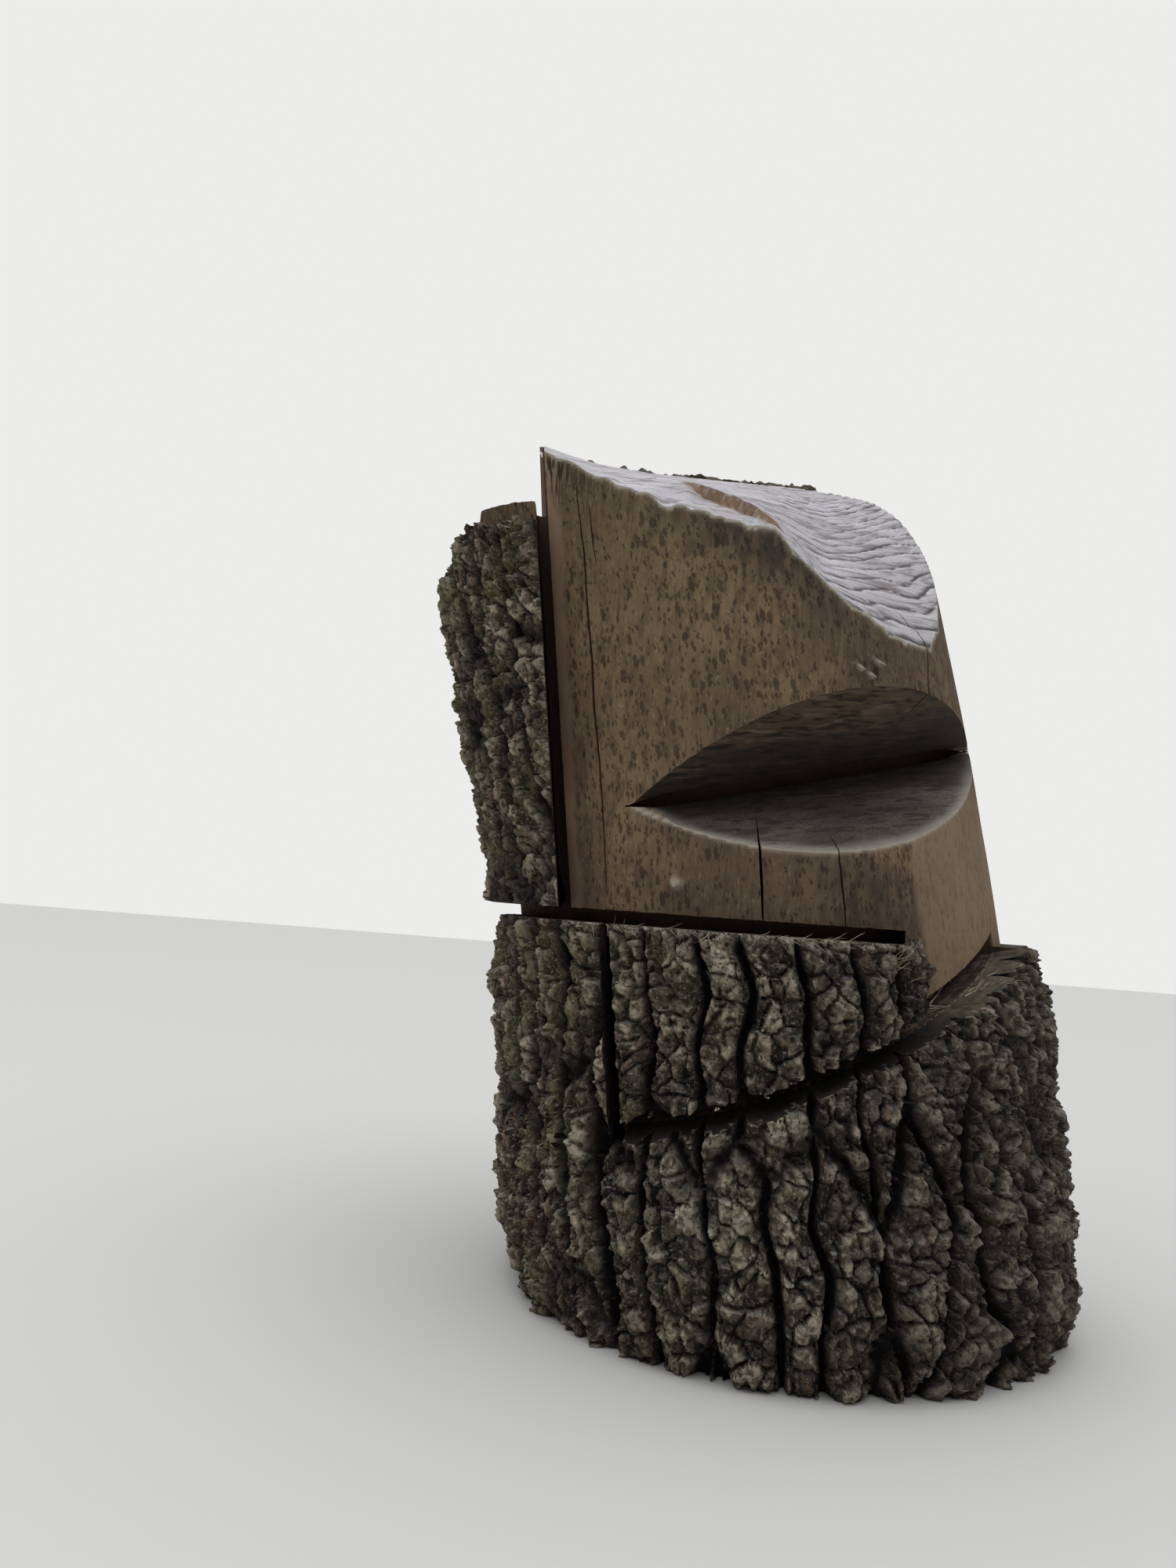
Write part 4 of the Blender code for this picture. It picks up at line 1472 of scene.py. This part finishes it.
@dataclass(frozen=True)
class BarkRelief:
    """The shape of the bark: ridges, the chunks they break into and the flakes on those."""

    form: LogForm
    ridges: Plates = Plates(38, 0.15, 201, 0.55)
    chunks: Plates = Plates(96, 0.0165, 202, 0.9)
    flakes: Plates = Plates(205, 0.0080, 203, 0.95)
    furrow: float = 0.0142
    strength: float = 0.86
    chunk_step: float = 0.0058
    chunk_tilt: float = 0.0060
    chunk_crack: float = 0.0030
    crest_height: float = 0.0034
    crumb_height: float = 0.0015
    flake_step: float = 0.0024
    flake_tilt: float = 0.0046
    girth: float = math.tau * 0.215

    def at(self, turn: Array, z: Array) -> dict[str, Array]:
        """Height and character of the bark.

        Args:
            turn: turns from the front.
            z: heights in metres.

        Returns:
            radius: the bark's outer radius.
            relief: 0 deep in a furrow to 1 on a ridge.
            lift: 0 in a hollow between flakes to 1 on a flake's raised edge.
            gap: 1 in a crack between chunks.
            chunk, flake: a random tone for each chunk and flake.
        """
        rough = 0.0009 * Roughness(270, 0.005, 219, 2).at(turn, z)
        sway = 0.011 * Ripple(11, 0.13, 211).at(turn, z) + 0.0060 * Ripple(40, 0.033, 212).at(turn, z)
        lean = 0.22 * bell(turn - degrees(66.0), degrees(38.0)) * np.minimum(z - 0.26, 0.0)
        around = turn + (sway + lean + 0.8 * rough) / self.girth
        ridge = self.ridges.at(around, z + 0.03 * Ripple(30, 0.1, 213).at(turn, z))
        bank = 0.12 + 0.07 * Ripple(60, 0.03, 217).at(turn, z)
        crown = ease((ridge["edge"] - 0.02) / bank) ** 0.8
        sides = ridge["upright"] ** 1.3
        depth = self.furrow * (0.80 + 0.55 * Ripple(24, 0.05, 223).at(turn, z))
        height = -depth * (1.0 - crown) * (0.34 + 0.66 * sides)
        height += 0.0035 * (ridge["dice"][..., 1] - 0.5) - 0.0045 * (1.0 - 2.0 * ridge["edge"]) ** 2

        twist = 0.0050 * Ripple(110, 0.015, 214).at(turn, z)
        chunk = self.chunks.at(around + (twist + rough) / self.girth, z + 0.7 * twist - rough)
        dice = chunk["dice"]
        bulge = np.clip(chunk["edge"] / 0.15, 0.0, 1.0)
        step = self.chunk_step * (dice[..., 0] - 0.5) + 0.0026 * (bulge - 1.0)
        lean_over = (dice[..., 1] - 0.5) * chunk["across"] + (dice[..., 2] - 0.25) * chunk["along"]
        tilt = self.chunk_tilt * lean_over
        crack = -self.chunk_crack * (1.0 - ease(chunk["edge"] / 0.11)) * dice[..., 3]
        detail = (step + tilt + crack) * (0.30 + 0.70 * crown)

        crest = 1.0 - 2.4 * np.abs(Roughness(150, 0.0125, 224, 2).at(around, z))
        crumb = 1.0 - 2.4 * np.abs(Roughness(370, 0.0048, 225, 2).at(turn, z + 0.5 * twist))
        detail += self.crest_height * (crest - 0.4) + self.crumb_height * (crumb - 0.4)
        fray = 0.0008 * Ripple(420, 0.006, 215).at(turn, z)
        flake = self.flakes.at(around + (0.5 * twist + fray) / self.girth, z + fray)
        bits = flake["dice"]
        detail += self.flake_step * (bits[..., 0] - 0.4)
        curl = (bits[..., 1] - 0.5) * flake["across"] + (bits[..., 2] - 0.2) * flake["along"]
        detail += self.flake_tilt * curl
        detail += 0.0007 * Ripple(500, 0.02, 222).at(turn, z)

        gaps = (0.95 - chunk["edge"] / 0.10) * dice[..., 3]
        broad = height
        height = broad + self.strength * detail
        radius = self.form.wood_at(z) + self.form.bark + height - self.wear(turn, z)
        return {
            "radius": np.maximum(radius, self.form.wood_at(z) + 0.004),
            "relief": np.clip(1.0 + broad / 0.0125, 0.0, 1.0),
            "lift": np.clip(0.5 + detail / 0.0095, 0.0, 1.0),
            "gap": np.clip(gaps, 0.0, 1.0),
            "chunk": dice[..., 1],
            "flake": bits[..., 3],
        }

    def wear(self, turn: Array, z: Array) -> Array:
        """How much bark is rubbed or broken off: along the base, and at the corners of the cuts."""
        form = self.form
        turn = np.mod(turn + 0.5, 1.0) - 0.5
        base = 0.010 * np.clip(1.0 - z / 0.05, 0.0, 1.0) ** 1.5
        ragged = 1.0 + 0.5 * Roughness(40, 0.02, 218).at(turn, z)
        left = ease((z - 0.215) / 0.064) * (z < form.level_cut) * bell(turn - degrees(-80.0), degrees(17.0))
        bare = ease((turn - degrees(66.0)) / 0.05) * ease((degrees(146.0) - turn) / 0.02)
        right = ease((z - 0.250) / 0.030) * (z < form.level_cut) * bare
        slope = form.slope_at(turn, form.wood_at(z) + form.bark)
        drop = slope - form.kerf - z
        below = ease((drop + 0.02) / 0.01) * ease(1.0 - drop / 0.035)
        shaved = below * bell(turn - degrees(30.0), degrees(20.0))
        thick = bell(turn - degrees(-86.0), degrees(30.0)) * bell(z - 0.44, 0.10)
        return base + ragged * (0.017 * left + 0.009 * right + 0.006 * shaved) - 0.008 * thick


@dataclass(frozen=True)
class Span:
    """A stretch of bark: where it starts and ends round the log, in degrees, and in height."""

    name: str
    start: float
    end: float
    low: float
    high: float
    pitch: float
    fine_back: bool = False


@dataclass
class Bark:
    """All the bark still on the log, as stretches that meet edge to edge."""

    form: LogForm
    cuts: SawCuts
    effects: Effects
    inset: float = 0.004
    pieces: list[bpy.types.Object] = field(default_factory=list)

    def build(self) -> None:
        """Models each stretch, cuts it and dresses it."""
        form = self.form
        self.relief = BarkRelief(form)
        self.materials = [
            BarkFinish("bark", self.effects).material(),
            BarkCutFinish("sawn_bark", self.effects).material(),
        ]
        middle = form.level_cut - form.kerf / 2
        level, slope = self.cuts.level_kerf(), self.cuts.slope_kerf()
        flap, broken = self.cuts.flap_kerf(), self.cuts.flap_break()
        side, top = self.cuts.side_kerf(0.06), self.cuts.rim()
        shoulder = self.cuts.shoulder(0.0, 0.006, "shoulder_bark")
        self.stretch(Span("bark_block_left", -118.0, -34.0, 0.0, middle, 0.00125), [level, flap])
        front = [level, slope, flap, broken]
        self.stretch(Span("bark_block_middle", -34.0, 34.0, 0.0, middle, 0.00115), front)
        self.stretch(Span("bark_block_right", 34.0, 128.0, 0.0, middle, 0.0013), [slope, broken])
        self.stretch(Span("bark_block_back", 128.0, 242.0, 0.0, middle, 0.0023), [])
        self.stretch(Span("bark_slab", -118.0, -28.0, middle, 0.61, 0.00135), [level, side, shoulder, top])
        self.stretch(Span("bark_back", 140.0, 242.0, middle, 0.785, 0.0024, True), [shoulder, top])
        discard([level, slope, flap, broken, side, top, shoulder])

    def stretch(self, span: Span, tools: Sequence[bpy.types.Object]) -> None:
        """Models one stretch of bark."""
        form = self.form
        start, end = degrees(span.start), degrees(span.end)

        def spot(s: Array, t: Array, depth: float) -> tuple[Array, Array]:
            z = span.low + (span.high - span.low) * t
            right = np.full(s.shape, end)
            if span.name == "bark_slab":
                right = form.side_turn(z, form.wood_at(z) + depth)
            left = np.full(s.shape, start)
            if span.name == "bark_back":
                left = left + degrees(2.5) * Roughness(30, 0.03, 221).at(z * 0.0 + 0.2, z)
            return left + (right - left) * s, z

        def face(s: Array, t: Array) -> Array:
            turn, z = spot(s, t, form.bark)
            return form.point(turn, z, self.relief.at(turn, z)["radius"])

        def back(s: Array, t: Array) -> Array:
            turn, z = spot(s, t, -self.inset)
            return form.point(turn, z, form.wood_at(z) - self.inset)

        columns = steps((end - start) * math.tau * 0.215, span.pitch)
        rows = steps(span.high - span.low, span.pitch)
        piece = thick_sheet(span.name, columns, rows, face, back, span.fine_back)
        cut(piece, tools)
        self.finish(piece)
        self.pieces.append(piece)

    def finish(self, piece: bpy.types.Object) -> None:
        """Paints the masks, gives each face its material and shades the bark."""
        form = self.form
        turn, z, radius = form.polar(points_of(piece))
        found = self.relief.at(turn, z)
        for name in ("relief", "lift", "gap", "chunk", "flake"):
            paint(piece, name, found[name])
        lip = bell(z - (form.level_cut - form.kerf), 0.0035)
        paint(piece, "lip", lip * (turn > degrees(-36.0)) * (turn < degrees(40.0)))
        below = z - form.slope_at(turn, radius)
        paint(piece, "shade", bell(below + 0.007, 0.018) * ease((degrees(46.0) - turn) / degrees(12.0)))
        # Weight for the left side: algae there, and painted shade in its furrows; where it is low the right
        # side is darker.
        left = bell(turn + degrees(75.0), degrees(60.0))
        paint(piece, "algae_and_shade", np.clip(left + 0.15, 0.0, 1.0))
        turn, z, radius = form.polar(face_middles(piece))
        skin = self.relief.at(turn, z)["radius"]
        dress(piece, self.materials, (radius < skin - 0.0012).astype(int))
        settle(piece, 24.0)


class FibreFinish(Finish):
    """Loose bast fibres and splinters, bleached pale."""

    def surface(self, w: Wiring) -> tuple[object, object, object]:
        """Colour, roughness and normal of the fibres."""
        tone = w.noise(w.place(), 90.0, 3.0)
        base = w.mix(w.span(tone, 0.35, 0.65), colour(122, 104, 82), colour(176, 164, 146))
        bump = w.node("Bump", {"Strength": 0.2, "Distance": 0.0003, "Height": tone}).outputs[0]
        return base, w.span(tone, 0.2, 0.8, 0.7, 0.85), bump


@dataclass(frozen=True)
class Edge:
    """A cut edge with loose fibres: where it runs, how many there are, and how they lie.

    The ends are degrees round the log and heights. The directions are across, up and out.
    """

    start: tuple[float, float]
    end: tuple[float, float]
    count: int
    length: float
    across: float
    up: float
    out: float
    sunk: float = 0.0


EDGES = (
    Edge((-31.0, 0.2695), (21.0, 0.2695), 60, 0.012, 1.0, -0.3, 0.5),
    Edge((-34.4, 0.150), (-33.2, 0.262), 16, 0.010, 0.9, 0.5, 0.1, 0.004),
    Edge((23.5, 0.262), (33.5, 0.228), 30, 0.014, 0.7, 0.5, 0.5, 0.003),
    Edge((40.0, 0.240), (68.0, 0.262), 22, 0.010, 1.0, 0.5, 0.2, 0.014),
    Edge((-42.5, 0.300), (-46.5, 0.545), 18, 0.010, 0.6, 0.6, 0.3, 0.006),
)


@dataclass
class Fibres:
    """Fine fibres that stand loose along the cut edges, as one piece."""

    form: LogForm
    effects: Effects
    seed: int = 301
    width: float = 0.00075
    thickness: float = 0.00025

    def build(self) -> None:
        """Models each fibre and joins them."""
        dice = np.random.default_rng(self.seed)
        relief = BarkRelief(self.form)
        strands = []
        for edge in EDGES:
            for _ in range(edge.count):
                strands.append(self.strand(edge, relief, dice, len(strands)))
        deselect()
        for strand in strands:
            strand.select_set(True)
        bpy.context.view_layer.objects.active = strands[0]
        bpy.ops.object.join()
        piece = bpy.context.object
        piece.name = piece.data.name = "fibres"
        material = FibreFinish("loose_fibres", self.effects).material()
        dress(piece, [material], np.zeros(len(piece.data.polygons)))
        settle(piece, 60.0)

    def strand(
        self, edge: Edge, relief: BarkRelief, dice: np.random.Generator, number: int
    ) -> bpy.types.Object:
        """One curled, tapering fibre."""
        share = dice.random()
        turn = np.array([degrees(edge.start[0] + (edge.end[0] - edge.start[0]) * share)])
        height = np.array([edge.start[1] + (edge.end[1] - edge.start[1]) * share])
        radius = relief.at(turn, height)["radius"] - edge.sunk * dice.random() - 0.001
        root = self.form.point(turn, height, radius)[0]
        angle = float(turn[0]) * math.tau
        across = np.array([math.cos(angle), math.sin(angle), 0.0])
        out = np.array([math.sin(angle), -math.cos(angle), 0.0])
        up = np.array([0.0, 0.0, 1.0])
        mix = np.array([edge.across, edge.up, edge.out]) + dice.normal(0.0, 0.45, 3)
        aim = mix[0] * across + mix[1] * up + abs(mix[2]) * out
        aim /= np.linalg.norm(aim)
        bend = np.cross(aim, dice.normal(0.0, 1.0, 3))
        bend /= np.linalg.norm(bend)
        flat = np.cross(aim, bend)
        length = edge.length * (0.4 + 0.9 * dice.random())
        curl = length * dice.uniform(0.1, 0.5)

        def place(s: Array, t: Array, side: float) -> Array:
            middle = root + np.outer(s * length, aim) + np.outer(curl * s * s, bend)
            half = (t - 0.5) * self.width * (1.0 - 0.85 * s)
            thin = 0.5 * self.thickness * (1.0 - 0.7 * s)
            return middle + np.outer(half, flat) + np.outer(side * thin, bend)

        return thick_sheet(
            f"fibre_{number}", 8, 1, lambda s, t: place(s, t, 1.0), lambda s, t: place(s, t, -1.0)
        )


# ---------------------------------------------------------------- stage


@dataclass(frozen=True)
class Stage:
    """A pale floor, soft light and the camera."""

    distance: float = 0.906
    eye: float = 0.278
    turn_left: float = 11.03
    look_up: float = 6.53
    roll: float = 4.05
    lens: float = 25.2

    def build(self) -> None:
        """Sets out the floor, the lights and the camera."""
        self.floor()
        self.lights()
        self.camera()

    def floor(self) -> None:
        """A broad level floor."""
        deselect()
        bpy.ops.mesh.primitive_plane_add(size=14.0, location=(0.0, 0.0, -0.0006))
        floor = bpy.context.object
        floor.name = "floor"
        material = bpy.data.materials.new("pale_floor")
        material.use_nodes = True
        shader = material.node_tree.nodes["Principled BSDF"]
        shader.inputs["Base Color"].default_value = (0.63, 0.62, 0.60, 1.0)
        shader.inputs["Roughness"].default_value = 0.9
        floor.data.materials.append(material)
        floor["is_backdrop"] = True

    def lights(self) -> None:
        """A soft sky, bright overhead and dim all round, before a pale backdrop."""
        world = bpy.data.worlds.new("soft_sky")
        bpy.context.scene.world = world
        world.use_nodes = True
        w = Wiring(world.node_tree)
        aim = w.node("SeparateXYZ", {0: w.node("TexCoord").outputs["Generated"]}).outputs["Z"]
        strength = w.span(aim, 0.55, 1.0, 0.16, 2.5)
        sky = w.node("Background", {"Color": (0.97, 0.985, 1.0, 1.0), "Strength": strength})
        backdrop = w.node("Background", {"Color": (0.84, 0.84, 0.83, 1.0), "Strength": 1.0})
        seen = w.node("LightPath").outputs["Is Camera Ray"]
        both = w.node("MixShader", {0: seen})
        output = w.tree.nodes.new("ShaderNodeOutputWorld")
        w.tree.links.new(sky.outputs[0], both.inputs[1])
        w.tree.links.new(backdrop.outputs[0], both.inputs[2])
        w.tree.links.new(both.outputs[0], output.inputs[0])
        self.lamp("left_front", (-2.4, -1.4, 2.6), 1.6, 9.0)
        bpy.context.scene.view_settings.view_transform = "Standard"

    def lamp(self, name: str, place: tuple[float, float, float], size: float, power: float) -> None:
        """One soft square light, aimed at the middle of the log."""
        data = bpy.data.lights.new(name, "AREA")
        data.size = size
        data.energy = power
        lamp = bpy.data.objects.new(name, data)
        bpy.context.scene.collection.objects.link(lamp)
        lamp.location = place
        aim = Vector((0.0, 0.0, 0.35)) - Vector(place)
        lamp.rotation_euler = aim.to_track_quat("-Z", "Y").to_euler()

    def camera(self) -> None:
        """A wide lens near the log, held a little crooked."""
        yaw, pitch = math.radians(self.turn_left), math.radians(self.look_up)
        ahead = Vector((-math.sin(yaw) * math.cos(pitch), math.cos(yaw) * math.cos(pitch), math.sin(pitch)))
        right = Vector((math.cos(yaw), math.sin(yaw), 0.0))
        up = right.cross(ahead)
        turn = Matrix.Rotation(-math.radians(self.roll), 3, ahead)
        right, up = turn @ right, turn @ up
        data = bpy.data.cameras.new("camera")
        data.sensor_width = 36.0
        data.lens = self.lens
        data.clip_start = 0.02
        camera = bpy.data.objects.new("camera", data)
        bpy.context.scene.collection.objects.link(camera)
        axes = Matrix((right, up, -ahead)).transposed().to_4x4()
        camera.matrix_world = Matrix.Translation((0.0, -self.distance, self.eye)) @ axes
        bpy.context.scene.camera = camera


def write_sizes() -> None:
    """Works out the CAD model's box and the visual model's."""
    boxes = {"cad": CAD_BOX, "visual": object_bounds()}
    plain = {name: [[float(v) for v in corner] for corner in pair] for name, pair in boxes.items()}


def main() -> None:
    """Builds the log and its stage."""
    logging.basicConfig(level=logging.INFO, format="%(name)s: %(message)s")
    effects = Effects()
    cuts = SawCuts(FORM)
    Wood(FORM, cuts, effects).build()
    Bark(FORM, cuts, effects).build()
    Fibres(FORM, effects).build()
    Stage().build()
    write_sizes()


if __name__ == "__main__":
    main()
